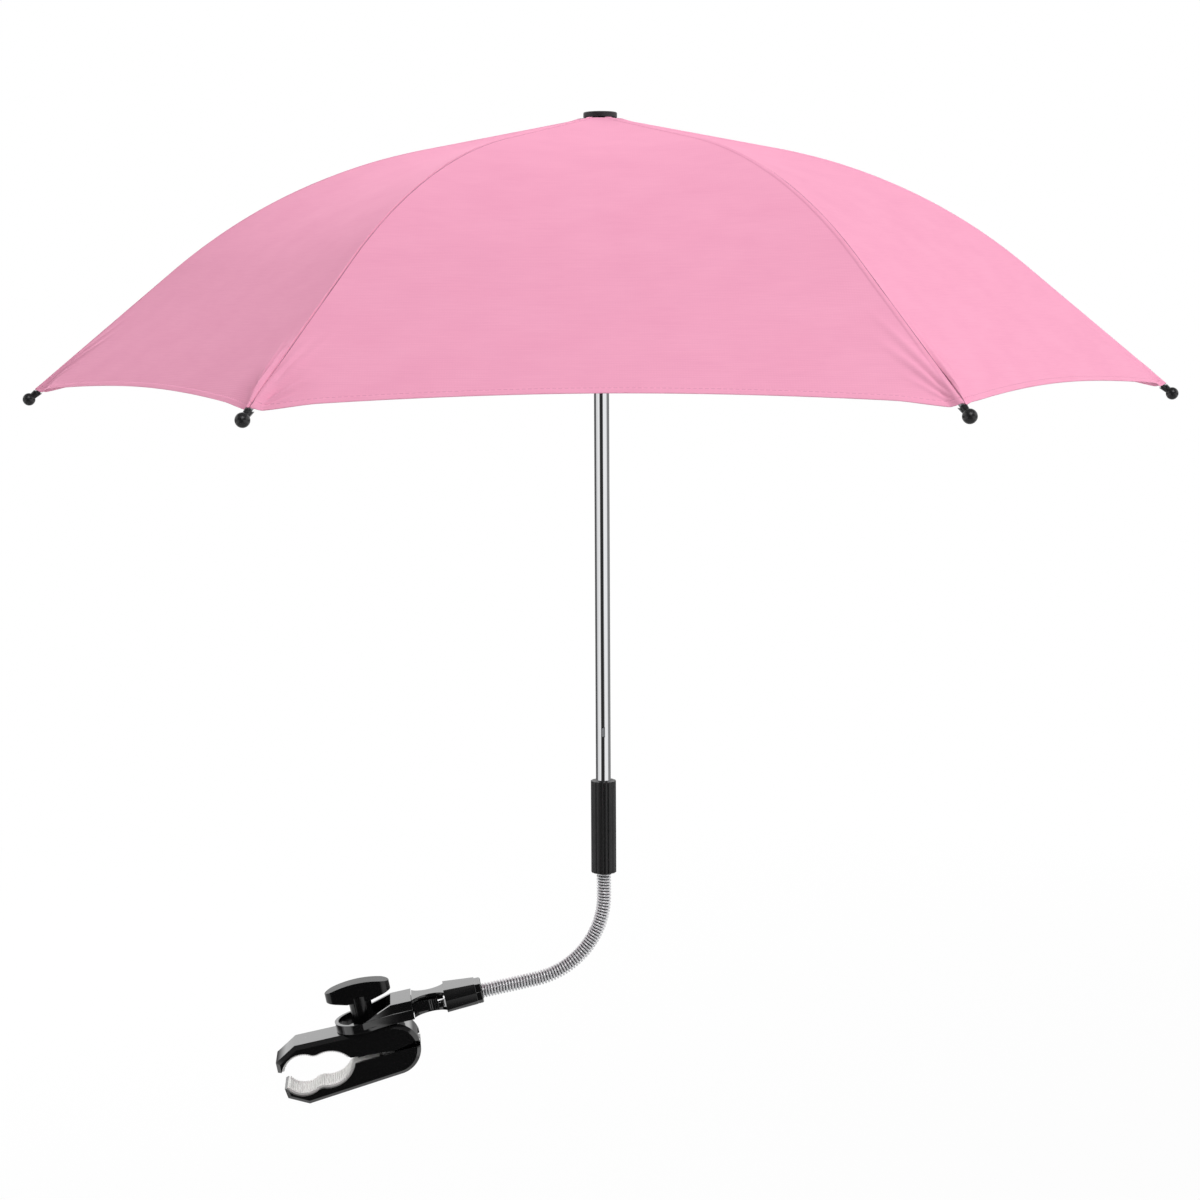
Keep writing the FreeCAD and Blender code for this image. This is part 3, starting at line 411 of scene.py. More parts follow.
poleBox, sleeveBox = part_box("pole"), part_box("sleeve")
canopy = {
    # the ribs' bow, by distance from the pole and slope in degrees
    "ribs": 6, "phase": -5.0, "poleX": (poleBox[0][0] + poleBox[1][0]) / 2 / mm,
    "topZ": sleeveBox[0][2] / mm + 501.4, "topR": 12.0,
    "innerR": 10.2, "cornerR": 372.0, "innerSlope": 10.5, "outerSlope": 39.5,
    "bendCornerR": 207.7, "bendRadius": 363.0,
    # the panel between two ribs, and its grid, which is finer near the ribs and the hem
    "hemDip": 8.0, "hemPower": 1.9, "sag": 4.5, "sagRun": 1.02, "sagPower": 1.2, "thick": 0.5,
    "settle": 0.7, "ribEase": 6.0, "across": 100, "along": 170, "crowding": 1.7, "foldReach": 165.0,
    "smoothAngle": 40,
    # hem and seam
    "hemBand": 4.0, "hemRise": 0.25, "hemDrop": 3.0, "hemEase": 25.0, "hemFade": 60.0,
    "seamWide": 2.1, "seamRise": 0.38, "seamStart": 0.5, "seamEnd": 0.8,
    "creaseDeep": 0.3, "creaseStart": 0.3, "creaseWide": 0.5, "creaseEnd": 0.6,
    # the top under the cap, and the corners at the tips
    "capR": 11.0, "coneR": 22.0, "coneRise": 0.9, "tuckWide": 1.4, "tuckRise": 0.3,
    "wrapDeep": 3.2, "wrapWide": 7.0, "wrapReach": 36.0, "cornerReach": 2.5,
}

# pull folds at the tips that the front shows, by rib and side: angle from the rib, length, height, width
tipFolds = {
    (3, 1): [(13, 90, 0.8, 2.8), (26, 75, 0.9, 2.8), (41, 42, 0.6, 2.4)],
    (4, -1): [(5, 76, 1.4, 1.8), (12, 66, 1.7, 2.0), (23, 48, 1.3, 2.2), (40, 32, 0.8, 2.0)],
    (4, 1): [(8, 66, 0.9, 2.0), (18, 80, 0.8, 2.6), (42, 40, 1.7, 2.6), (60, 28, 0.7, 2.2)],
    (5, -1): [(10, 84, 0.7, 2.6), (23, 62, 0.8, 2.6), (42, 36, 0.6, 2.4)],
    (5, 1): [(6, 88, 1.4, 1.8), (13, 78, 1.6, 2.3), (24, 60, 1.2, 2.5)],
    (0, -1): [(9, 82, 0.7, 2.4), (19, 70, 0.9, 2.6), (31, 44, 0.7, 2.4)],
}
# the other tips: angle, length and height, each with a little chance
plainFolds = ((8, 85, 0.5), (17, 80, 0.7), (29, 55, 0.7), (43, 34, 0.5))
foldChance = {"lean": (-2, 2), "length": (0.7, 1.1), "height": (0.7, 1.2), "curve": (-0.03, 0.05)}
foldForm = {"rise": 1.8, "plainWidth": 2.3, "narrow": 0.75, "widen": 0.6, "pinch": 0.3,
            "unpinch": 0.075, "fadeFrom": 0.2, "ribEase": 2.2}
# corners where the fabric is drawn down over a shorter reach
wrapReaches = {(5, 1): 11.0, (0, -1): 22.0, (3, 1): 26.0}
pongee = makePongee()


def ribProfile():
    # the rib's bow is a straight run, a bend and a straight end; gives a function of it and its length
    half = math.radians(canopy["outerSlope"] - canopy["innerSlope"]) / 2
    inner, outer = math.radians(canopy["innerSlope"]), math.radians(canopy["outerSlope"])
    cornerZ = canopy["topZ"] - (canopy["bendCornerR"] - canopy["topR"]) * math.tan(inner)
    reach = canopy["bendRadius"] * math.tan(half)
    startR = canopy["bendCornerR"] - reach * math.cos(inner)
    startZ = cornerZ + reach * math.sin(inner)
    firstRun = (startR - canopy["innerR"]) / math.cos(inner)
    bendRun = canopy["bendRadius"] * 2 * half
    centreR = startR - canopy["bendRadius"] * math.sin(inner)
    centreZ = startZ - canopy["bendRadius"] * math.cos(inner)

    def at(s):
        # distance from the pole, height and slope at a length along the rib
        if s < firstRun:
            back = firstRun - s
            return startR - back * math.cos(inner), startZ + back * math.sin(inner), inner
        turned = inner + min(s - firstRun, bendRun) / canopy["bendRadius"]
        over = max(s - firstRun - bendRun, 0)
        r = centreR + canopy["bendRadius"] * math.sin(turned) + over * math.cos(turned)
        z = centreZ + canopy["bendRadius"] * math.cos(turned) - over * math.sin(turned)
        return r, z, turned

    endR = at(firstRun + bendRun)[0]
    return at, firstRun + bendRun + (canopy["cornerR"] - endR) / math.cos(outer)


onRib, ribRun = ribProfile()
hemSlope = math.radians(canopy["outerSlope"])


def hemCut(q):
    # how much shorter the panel is than the rib, from the rib (0) to the panel's middle (1)
    return canopy["hemDip"] * (1 - (1 - q) ** canopy["hemPower"]) / math.cos(hemSlope)


def pullFolds(index, side):
    dice = random.Random(index * 2 + (side > 0))
    table = tipFolds.get((index, side))
    if table is None:
        table = [(angle + dice.uniform(*foldChance["lean"]), length * dice.uniform(*foldChance["length"]),
                  height * dice.uniform(*foldChance["height"]), foldForm["plainWidth"])
                 for angle, length, height in plainFolds]
    return [fold + (dice.uniform(*foldChance["curve"]),) for fold in table]


def foldHeight(folds, down, over):
    # folds run out from the tip, narrow there and fading at the far end; none crosses the rib
    distance = math.hypot(down, over)
    angle = math.degrees(math.atan2(over, down))
    height = 0
    for lean, length, rise, width, curve in folds:
        share = distance / length
        if share < 1:
            aside = math.radians(angle - lean - curve * distance) * distance
            spread = min(width * (foldForm["narrow"] + foldForm["widen"] * share),
                         foldForm["pinch"] + foldForm["unpinch"] * distance)
            fade = 1 - ease((share - foldForm["fadeFrom"]) / (1 - foldForm["fadeFrom"]))
            swell = min(spread / width, 1) * fade
            height += rise * foldForm["rise"] * swell * math.exp(-(aside / spread) ** 2)
    return height * ease(over / foldForm["ribEase"])


def cornerWrap(reach, down, over):
    # the corner is drawn down round the rib's end, to the tip's fork
    near = 1 - ease(math.hypot(down, over) / reach)
    return -canopy["wrapDeep"] * near * ease(over / canopy["wrapWide"])


def hemReach(toHem, over):
    # the corner reaches into the fork, and the hem hangs a little below the line between the tips
    hang = canopy["hemDrop"] - canopy["cornerReach"]
    reach = canopy["cornerReach"] + hang * ease(over / canopy["hemEase"])
    return reach * (1 - ease(toHem / canopy["hemFade"]))


def coneLift(r):
    # the fabric is drawn up to the cap, and tucks under its rim
    under = 1 - ease((r - canopy["capR"]) / canopy["tuckWide"])
    rise = canopy["coneRise"] * ease((canopy["coneR"] - r) / (canopy["coneR"] - canopy["capR"]))
    return rise * (1 - under) + canopy["tuckRise"] * under


def seamLift(over, side):
    # one half stands proud beside the rib, where the seam is turned over, and the other dips
    if side < 0:
        past = ease((over - canopy["seamWide"]) / canopy["seamEnd"])
        return canopy["seamRise"] * ease(over / canopy["seamStart"]) * (1 - past)
    past = ease((over - canopy["creaseWide"]) / canopy["creaseEnd"])
    return -canopy["creaseDeep"] * ease(over / canopy["creaseStart"]) * (1 - past)


def addMap(obj, label, spots):
    layer = obj.data.uv_layers.new(name=label)
    for loop in obj.data.loops:
        layer.data[loop.index].uv = spots[loop.vertex_index]


def makeHalfPanel(index, side):
    hand = "right_" if side > 0 else "left_"
    obj = grid("fabric_" + hand + str(index + 1), canopy["across"], canopy["along"])
    azimuth = math.radians(canopy["phase"] + 360 / canopy["ribs"] * index)
    half = math.pi / canopy["ribs"]
    out = Vector((math.cos(azimuth), math.sin(azimuth), 0))
    aside = Vector((-math.sin(azimuth), math.cos(azimuth), 0)) * side
    ahead = out * math.cos(half) + aside * math.sin(half)
    axis = Vector((canopy["poleX"], 0, 0))
    folds = pullFolds(index, side)
    wrapReach = wrapReaches.get((index, side), canopy["wrapReach"])
    weave, edges = [], []
    for vertex in obj.data.vertices:
        q = min(max(vertex.co.x / mm + 0.5, 0), 1) ** canopy["crowding"]
        y = min(max(vertex.co.y / mm + 0.5, 0), 1)
        full = ribRun - hemCut(q)
        s = full * (1 - (1 - y) ** canopy["crowding"])
        r, z, slope = onRib(s)
        over = q * r * math.sin(half)
        toHem = full - s
        point = axis + out * (r - over * math.sin(half)) + aside * (over * math.cos(half))
        point.z = z
        # at the rib both halves share the rib's own directions, so that no crack opens
        flat = ease(over / canopy["ribEase"])
        facing = out.lerp(ahead, flat).normalized()
        panelLean = math.atan(math.tan(slope) / math.cos(half))
        lean = slope + (panelLean - slope) * flat
        normal = facing * math.sin(lean) + Vector((0, 0, math.cos(lean)))
        outward = facing * math.cos(lean) - Vector((0, 0, math.sin(lean)))
        hang = math.sin(math.pi * min(s / full * canopy["sagRun"], 1)) ** canopy["sagPower"]
        lift = -canopy["sag"] * (1 - (1 - q) ** 2) * hang
        lift += foldHeight(folds, ribRun - s, over)
        lift += canopy["hemRise"] * ease(canopy["hemBand"] - toHem) * flat
        lift += (seamLift(over, side) + coneLift(r) + cornerWrap(wrapReach, ribRun - s, over)
                 - canopy["settle"])
        vertex.co = (point + normal * lift + outward * hemReach(toHem, over)) * mm
        weave.append((side * (r * math.sin(half) - over) * mm, s * mm))
        edges.append((side * over * mm, toHem * mm))
    addMap(obj, "weave", weave)
    addMap(obj, "edges", edges)
    first = obj.data.uv_layers.get("UVMap")
    if first:
        obj.data.uv_layers.remove(first)
    obj.data.update()
    if side < 0:
        takeUp(obj)
        editAll()
        bpy.ops.mesh.flip_normals()
        leaveEdit()
    applied(obj, "SOLIDIFY", thickness=canopy["thick"] * mm, offset=-1, use_even_offset=True)
    smoothShade(obj, canopy["smoothAngle"])
    node = "panel_" + hand + str(index + 1)
    dress(obj, pongee, [node])
    obj.visible_glossy = False      # keeps the plated pole and glossy clamp neutral
    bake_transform(obj)
    return obj


fabric = [makeHalfPanel(i, side) for i in range(canopy["ribs"]) for side in (-1, 1)]
print("canopy made,", len(fabric), "half panels")


# Gooseneck: a straight coil is wound first, then bent along the neck

neck = {
    "tilt": 11.2, "startU": 128.5, "startW": 25.6, "run": 37.3, "bendRadius": 58.0, "rise": 16.3,
    "seat": 12.5, "coilRadius": 4.3, "wireRadius": 0.65, "turns": 74, "endRoom": 3.2,
    "coreRadius": 3.3, "coreSeat": 6.0,
    "wireSides": 10, "turnSteps": 24, "coreSides": 24, "coreSteps": 80, "smoothAngle": 50,
}
tilt = math.radians(neck["tilt"])
neckArc = neck["bendRadius"] * (math.pi / 2 - tilt)
neckLength = neck["run"] + neckArc + neck["rise"]


def clampPoint(u, v, w):
    # from the clamp's own frame, u along the arm and w up, to the part's frame
    return Vector((u * math.cos(tilt) - w * math.sin(tilt), v, u * math.sin(tilt) + w * math.cos(tilt)))


def neckPlace(s):
    # the neck's middle line at a length along it, and the direction square to it
    turned = tilt + min(max(s - neck["run"], 0), neckArc) / neck["bendRadius"]
    run = min(s, neck["run"])
    rise = max(s - neck["run"] - neckArc, 0)
    start = clampPoint(neck["startU"], 0, neck["startW"])
    x = start.x + run * math.cos(tilt) + neck["bendRadius"] * (math.sin(turned) - math.sin(tilt))
    z = start.z + run * math.sin(tilt) + neck["bendRadius"] * (math.cos(tilt) - math.cos(turned)) + rise
    return Vector((x, 0, z)), Vector((-math.sin(turned), 0, math.cos(turned)))


def alongNeck(first):
    def place(x, y, z):
        centre, inward = neckPlace(first + z)
        return centre + inward * x + Vector((0, y, 0))
    return place


def makeSpring():
    first = -neck["seat"] + neck["endRoom"]
    span = neckLength + neck["seat"] - neck["endRoom"] - first
    bpy.ops.mesh.primitive_circle_add(vertices=neck["wireSides"], radius=neck["wireRadius"] * mm,
                                      location=(neck["coilRadius"] * mm, 0, 0),
                                      rotation=(math.pi / 2, 0, 0))
    obj = newest("gooseneck_coil")
    bpy.ops.object.transform_apply(location=True, rotation=True, scale=True)
    applied(obj, "SCREW", axis="Z", angle=math.tau, steps=neck["turnSteps"],
            render_steps=neck["turnSteps"], iterations=neck["turns"],
            screw_offset=span / neck["turns"] * mm, use_smooth_shade=True)
    editAll()
    bpy.ops.mesh.select_all(action="DESELECT")
    bpy.ops.mesh.select_non_manifold()
    bpy.ops.mesh.fill()
    leaveEdit()
    closeUp(obj)
    reshape(obj, alongNeck(first))
    return smoothShade(obj, neck["smoothAngle"])


def makeCore():
    first = -neck["seat"] - neck["coreSeat"]
    step = (neckLength - 2 * first) / neck["coreSteps"]
    bpy.ops.mesh.primitive_circle_add(vertices=neck["coreSides"], radius=neck["coreRadius"] * mm,
                                      fill_type="NGON")
    obj = newest("gooseneck_tube")
    editAll()
    for _ in range(neck["coreSteps"]):
        bpy.ops.mesh.extrude_region_move(TRANSFORM_OT_translate={"value": (0, 0, step * mm)})
    leaveEdit()
    closeUp(obj)
    reshape(obj, alongNeck(first))
    return smoothShade(obj, neck["smoothAngle"])


coil = dress(makeSpring(), springSteel, ["gooseneck_spring"])
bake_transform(coil)
tube = dress(makeCore(), coreSteel, ["gooseneck_core"])
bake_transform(tube)
print("gooseneck made")


# Clamp pads: pale rubber with ribs across the grip, and a forked tail beside the screw

pads = {
    "gripRadius": 13.0, "lobeRadius": 17.3, "lobeU": 17.4, "lobeSink": 6.0, "thick": 1.6, "width": 24.0,
    "ribPitch": 1.5, "grooveDeep": 0.45, "ribShape": ((0.0, 0), (0.45, 0), (0.58, 1), (0.87, 1)),
    "tail": 17.0, "hingeU": 72.0, "slotU": (36.7, 53.3), "slotHalf": 3.6, "slotTall": 24.0,
    "ridgeRound": 6.0, "ridgeGap": 0.1, "rounds": 12, "smoothAngle": 30,
    "upper": {"sign": 1, "noseW": 4.8, "splitW": 2.3, "splitRise": math.tan(math.radians(3.4))},
    "lower": {"sign": -1, "noseW": -7.1, "splitW": 2.0, "splitRise": -math.tan(math.radians(3.2))},
}
clampTurn = Matrix.Rotation(-tilt, 4, "Y")


def hollowsMeet(sign, grow):
    # where the grip's circle and the second hollow's circle cross
    first, second = pads["gripRadius"] + grow, pads["lobeRadius"] + grow
    centre = Vector((pads["lobeU"], -sign * pads["lobeSink"]))
    span = centre.length
    along = (first ** 2 - second ** 2 + span ** 2) / (2 * span)
    square = Vector((-centre.y, centre.x)) / span * sign
    return centre / span * along + square * math.sqrt(first ** 2 - along ** 2)


def roundRidge(point, sign):
    # eases the ridge between the two hollows: a point (u, w) near it moves onto a rounded one
    grip, lobe = Vector((0, 0)), Vector((pads["lobeU"], -sign * pads["lobeSink"]))
    toGrip = pads["gripRadius"] + pads["thick"]
    toLobe = pads["lobeRadius"] + pads["thick"]
    ridge = hollowsMeet(sign, pads["thick"] + pads["ridgeRound"])
    away = point - ridge
    outside = min((point - grip).length - toGrip, (point - lobe).length - toLobe)
    turns = [away.cross(grip - ridge), away.cross(lobe - ridge)]
    between = turns[0] * turns[1] < 0 and away.dot(grip + lobe - 2 * ridge) > 0
    if not between or outside > pads["ridgeGap"] or outside < -pads["thick"] - pads["ridgeGap"]:
        return point
    return ridge + away.normalized() * (pads["ridgeRound"] - outside)


def splitAt(half, u):
    return half["splitW"] + (pads["hingeU"] - u) * half["splitRise"]


def lobeEnd(half, grow, inset):
    # where the second hollow meets the sloping split, found by coming closer in a few rounds
    radius, u = pads["lobeRadius"] + grow, pads["lobeU"] + pads["lobeRadius"]
    for _ in range(pads["rounds"]):
        w = splitAt(half, u) + half["sign"] * inset
        u = pads["lobeU"] + math.sqrt(radius ** 2 - (pads["lobeSink"] + half["sign"] * w) ** 2)
    return Vector((u, splitAt(half, u) + half["sign"] * inset))


def ribbedArc(centre, radius, start, end, deep):
    # points from start to end about a centre; each rib has a crest, a groove and sloping sides
    first = math.atan2(start.y - centre.y, start.x - centre.x)
    turn = math.atan2(end.y - centre.y, end.x - centre.x) - first
    turn = (turn + math.pi) % math.tau - math.pi
    count = max(int(abs(turn) * radius / pads["ribPitch"]), 1)
    points = []
    for i in range(count):
        for part, groove in pads["ribShape"]:
            angle = first + turn * (i + part) / count
            reach = radius + deep * groove
            points.append(centre + Vector((math.cos(angle), math.sin(angle))) * reach)
    return points


def makePad(name):
    half = pads[name]
    sign = half["sign"]
    grip, lobe = Vector((0, 0)), Vector((pads["lobeU"], -sign * pads["lobeSink"]))
    outline = []
    for grow, deep in ((0, pads["grooveDeep"]), (pads["thick"], 0)):
        reach = pads["gripRadius"] + grow
        nose = Vector((-math.sqrt(reach ** 2 - half["noseW"] ** 2), half["noseW"]))
        meet = hollowsMeet(sign, grow)
        end = lobeEnd(half, grow, grow)
        side = ribbedArc(grip, reach, nose, meet, deep)
        side += ribbedArc(lobe, pads["lobeRadius"] + grow, meet, end, deep)
        side = [roundRidge(p, sign) for p in side]
        tailU = lobeEnd(half, pads["thick"], 0).x + pads["tail"]
        side += [end, Vector((tailU, splitAt(half, tailU) + sign * grow))]
        outline += side if grow == 0 else side[::-1]
    points = [(p.x, 0, p.y) for p in outline]
    obj = drawnOut("pad_" + name, points, (0, -pads["width"] / 2, 0), (0, pads["width"], 0))
    low, high = pads["slotU"]
    bpy.ops.mesh.primitive_cube_add(size=1, location=((low + high) / 2 * mm, 0, 0))
    slot = newest("screwSlot")
    slot.scale = ((high - low) * mm, pads["slotHalf"] * 2 * mm, pads["slotTall"] * mm)
    bpy.ops.object.transform_apply(location=True, scale=True)
    carve(obj, slot)
    return smoothShade(moveBy(obj, clampTurn), pads["smoothAngle"])


for name, body in (("upper", "clamp"), ("lower", "jaw")):
    pad = dress(makePad(name), padRubber, [name + "_pad"])
    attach(pad, body)
print("pads made")


# Latches: springy arms with a ridged finger grip at the free end

latch = {
    "startU": 80.9, "endU": 98.0, "innerV": 8.4, "outerV": 10.4, "proudV": 12.0,
    "fingerU": 91.5, "flatU": 94.4, "lowW": 23.8, "topW": 30.8, "edge": 0.16,
    "ridges": 5, "ridgeDeep": 0.5, "ridgeShape": ((0.0, 0), (-0.5, 0), (-0.62, 1), (-0.88, 1)),
    "hook": {"startU": 97.0, "endU": 101.4, "outV": 10.4, "topW": 26.9, "lipU": 100.0, "lipW": 28.3},
}


def makeLatch(name, sign):
    outline = [(latch["startU"], latch["innerV"]), (latch["endU"], latch["innerV"])]
    run = latch["endU"] - latch["fingerU"]
    for i in range(latch["ridges"], 0, -1):
        for part, deep in latch["ridgeShape"]:
            u = latch["fingerU"] + run * (i + part) / latch["ridges"]
            rise = min((u - latch["fingerU"]) / (latch["flatU"] - latch["fingerU"]), 1)
            v = latch["outerV"] + (latch["proudV"] - latch["outerV"]) * rise - latch["ridgeDeep"] * deep
            outline.append((u, max(v, latch["outerV"])))
    outline += [(latch["fingerU"], latch["outerV"]), (latch["startU"], latch["outerV"])]
    points = [(u, sign * v, 0) for u, v in outline]
    obj = drawnOut("latch_" + name + "_arm", points, (0, 0, latch["lowW"]),
                   (0, 0, latch["topW"] - latch["lowW"]))
    hook = latch["hook"]
    profile = [(hook["startU"], latch["lowW"]), (hook["endU"], latch["lowW"]), (hook["endU"], hook["lipW"]),
               (hook["lipU"], hook["lipW"]), (hook["lipU"], hook["topW"]), (hook["startU"], hook["topW"])]
    catch = drawnOut("latchHook", [(u, 0, w) for u, w in profile], (0, sign * latch["innerV"], 0),
                     (0, sign * (hook["outV"] - latch["innerV"]), 0))
    carve(obj, catch, "UNION")
    soften(obj, latch["edge"], segments=2)
    return moveBy(obj, clampTurn)


for name, sign in (("near", -1), ("far", 1)):
    arm = dress(makeLatch(name, sign), glossAbs, ["latch_" + name])
    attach(arm, name + "_latch")
print("latches made")


# Clamp and arm mouldings: copies of the solids with rounded noses and mould lines

moulding = {
    "noseRound": 1.7, "noseU": -9, "collarRound": 1.3, "collarRadius": 6, "collarGap": 0.1,
    "roundSteps": 4, "acrossLeast": 4, "jawEdge": 0.65, "bracketEdge": 0.5, "plugEdge": 0.4,
    "seamWide": 0.5, "seamDeep": 0.14,
    "blockSeam": (70, 0, 27.6), "blockV": 14.3, "headSeam": (110, 0, 27.4), "headU": 103.5, "headV": 7.7,
}


def clampFrame(co):
    # from the part's frame in metres to the clamp's own in millimetres
    return clampTurn.inverted() @ co / mm


def across(pick):
    # takes an edge that runs across the clamp, where both its ends are picked
    def test(start, end):
        a, b = clampFrame(start), clampFrame(end)
        return abs(a.y - b.y) > moulding["acrossLeast"] and pick(a) and pick(b)
    return test


def easedHollow(sign):
    def place(x, y, z):
        co = clampFrame(Vector((x, y, z)) * mm)
        if abs(co.x - pads["lobeU"] / 2) >= pads["lobeU"]:
            return x, y, z
        moved = roundRidge(Vector((co.x, co.z)), sign)
        return clampPoint(moved.x, co.y, moved.y)
    return place


def onCollar(start, end):
    # takes an edge on the outer rim of the plug's head, where the gooseneck goes in
    for p in (clampFrame(start), clampFrame(end)):
        fromMiddle = Vector((p.y, p.z - neck["startW"])).length
        if p.x <= neck["startU"] - moulding["collarGap"] or fromMiddle <= moulding["collarRadius"]:
            return False
    return True


def makeJaw(node):
    obj = cleanCopy(node)
    reshape(obj, easedHollow(1 if node == "upper_jaw" else -1))
    roundEdges(obj, moulding["noseRound"], moulding["roundSteps"], across(lambda p: p.x < moulding["noseU"]))
    return soften(obj, moulding["jawEdge"])


def makeBracket():
    obj = soften(cleanCopy("swivel_bracket"), moulding["bracketEdge"])
    return score(obj, clampPoint(*moulding["blockSeam"]) * mm, clampPoint(0, 0, 1), moulding["seamWide"],
                 moulding["seamDeep"], lambda co: abs(co.y) > moulding["blockV"] * mm)


def makePlug():
    obj = cleanCopy("quick_release_plug")
    roundEdges(obj, moulding["collarRound"], moulding["roundSteps"], onCollar)
    soften(obj, moulding["plugEdge"])
    return score(obj, clampPoint(*moulding["headSeam"]) * mm, clampPoint(0, 0, 1), moulding["seamWide"],
                 moulding["seamDeep"],
                 lambda co: clampFrame(co).x > moulding["headU"] and abs(co.y) > moulding["headV"] * mm)


mouldings = {
    "upper_jaw": (makeJaw("upper_jaw"), "clamp"),
    "lower_jaw": (makeJaw("lower_jaw"), "jaw"),
    "swivel_bracket": (makeBracket(), "arm"),
    "quick_release_plug": (makePlug(), "arm"),
}
for node, (obj, body) in mouldings.items():
    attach(dress(obj, glossAbs, [node]), body)
print("clamp mouldings made")


# Knob, mast and frame: copies of the solids with softened edges, by body, material, slot and width

rounded = {
    "clamp_knob": ("knob", satinNylon, "knob_plastic", 1.1),
    "jaw_hinge_pin": ("clamp", pinSteel, "pin_steel", 0.3),
    "clamp_screw": ("knob", pinSteel, "pin_steel", 0.3),
    "clamp_nut": ("nut", pinSteel, "pin_steel", 0.3),
    "sleeve": ("mast", sleevePolymer, "sleeve_plastic", 0.25),
    "pole": ("mast", chrome, "pole_chrome", 0.0),
    "crown": ("mast", fittingNylon, "fitting_plastic", 0.3),
    "crown_wire": ("mast", ribSteel, "rib_steel", 0.0),
    "top_cap": ("mast", capNylon, "fitting_plastic", 0.6),
    "runner": ("slider", fittingNylon, "fitting_plastic", 0.3),
    "top_catch": ("upper_catch", ribSteel, "rib_steel", 0.15),
    "bottom_catch": ("lower_catch", ribSteel, "rib_steel", 0.15),
}
for i in range(1, canopy["ribs"] + 1):
    rounded["rib_" + str(i)] = ("rib_body_" + str(i), ribSteel, "rib_steel", 0.0)
    rounded["tip_" + str(i)] = ("rib_body_" + str(i), tipNylon, "tip_plastic", 0.2)
    rounded["rivet_" + str(i)] = ("rib_body_" + str(i), ribSteel, "rib_steel", 0.1)
    rounded["stretcher_" + str(i)] = ("stretcher_body_" + str(i), ribSteel, "rib_steel", 0.0)
for node, (body, material, slot, width) in rounded.items():
    obj = dress(soften(cleanCopy(node), width), material, [node])
    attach(obj, body)
print("knob, mast and frame made")


# Studio: pale floor, soft lights, a made-up room that only reflections see, and the camera

# lengths are in metres; a layer of the room fades in between two heights of a direction, from -1 to 1
studio = {
    "floorZ": -0.62, "floorSize": 40.0, "floorWhite": 0.92, "fadeFrom": 1.6, "fadeTo": 3.5,
    "skyLow": 0.30, "skyHigh": 0.44, "aim": (0.2, 0, 0.45), "frontTurn": 95.4,
    "frontBox": (0.07, -0.705, 0.705), "boxEdge": (0.955, 0.97), "boxWhite": 4.0,
    "wallsFrom": (0.0, 0.12), "ceilingFrom": (0.56, 0.66), "ceiling": 0.16,
    "lowWallsFrom": (-0.222, -0.247), "floorFrom": (-0.5, -0.6), "floorShine": 0.45,
}
lamps = {
    "keySoftbox": {"turn": -40, "height": 45, "away": 4.0, "size": 2.3, "power": 120},
    "backSoftbox": {"turn": 109, "height": 20, "away": 4.0, "size": 2.3, "power": 130},
    "leftSoftbox": {"turn": 165, "height": 40, "away": 4.0, "size": 2.3, "power": 30},
}

# what bright metal and gloss see around them: turn from the camera's side, share of white
surroundings = [(-180, 0.12), (-97, 0.10), (-92, 0.72), (-40, 0.98), (-33, 0.03), (15, 0.03),
                (27, 1.0), (78, 0.95), (86, 0.25), (180, 0.22)]

# the same above the horizon and low down, where white walls stand beside and behind the object
walls = [(-180, 1.0), (-76, 1.0), (-62, 0.05), (62, 0.05), (76, 1.0), (180, 1.0)]
lowWalls = [(-180, 1.0), (-50, 1.0), (-38, 0.04), (36, 0.04), (48, 1.0), (180, 1.0)]

# the camera's place, its height above the sleeve's foot, and its turns in degrees
view = {"x": 60.15, "y": -1513.83, "above": 374.03, "sensor": 36, "lens": 68.755,
        "heading": -5.38, "down": 7.06, "roll": -0.285}


def makeFloor():
    bpy.ops.mesh.primitive_plane_add(size=studio["floorSize"],
                                     location=(studio["aim"][0], studio["aim"][1], studio["floorZ"]))
    floor = newest("floor")
    material, tree, shader = startMaterial("paleFloor", Base_Color=linear("#cfcfcf"), Roughness=0.9)
    cameraRay = addNode(tree, "ShaderNodeLightPath").outputs["Is Camera Ray"]
    place = addNode(tree, "ShaderNodeTexCoord").outputs["Object"]
    away = addNode(tree, "ShaderNodeVectorMath", {"operation": "LENGTH"}, {0: place})
    fade = addNode(tree, "ShaderNodeMapRange", {"From Min": studio["fadeFrom"], "From Max": studio["fadeTo"],
                                                "To Min": studio["floorWhite"], "To Max": 1.0},
                   {"Value": away.outputs["Value"]})
    share = addNode(tree, "ShaderNodeMath", {"operation": "MULTIPLY"}, {0: cameraRay, 1: fade.outputs[0]})
    white = addNode(tree, "ShaderNodeEmission", {"Strength": 1.0})
    mix = addNode(tree, "ShaderNodeMixShader", None,
                  {0: share.outputs[0], 1: shader.outputs[0], 2: white.outputs[0]})
    tree.links.new(mix.outputs[0], tree.nodes["Material Output"].inputs["Surface"])
    floor.data.materials.append(material)
    floor.visible_glossy = False


def setStops(ramp, ring):
    # a ring of (turn, share of white) stops, from -180 to 180 degrees
    elements = ramp.color_ramp.elements
    while len(elements) < len(ring):
        elements.new(0.5)
    for element, (angle, share) in zip(elements, ring):
        element.position = (angle + 180) / 360
        element.color = (share, share, share, 1)


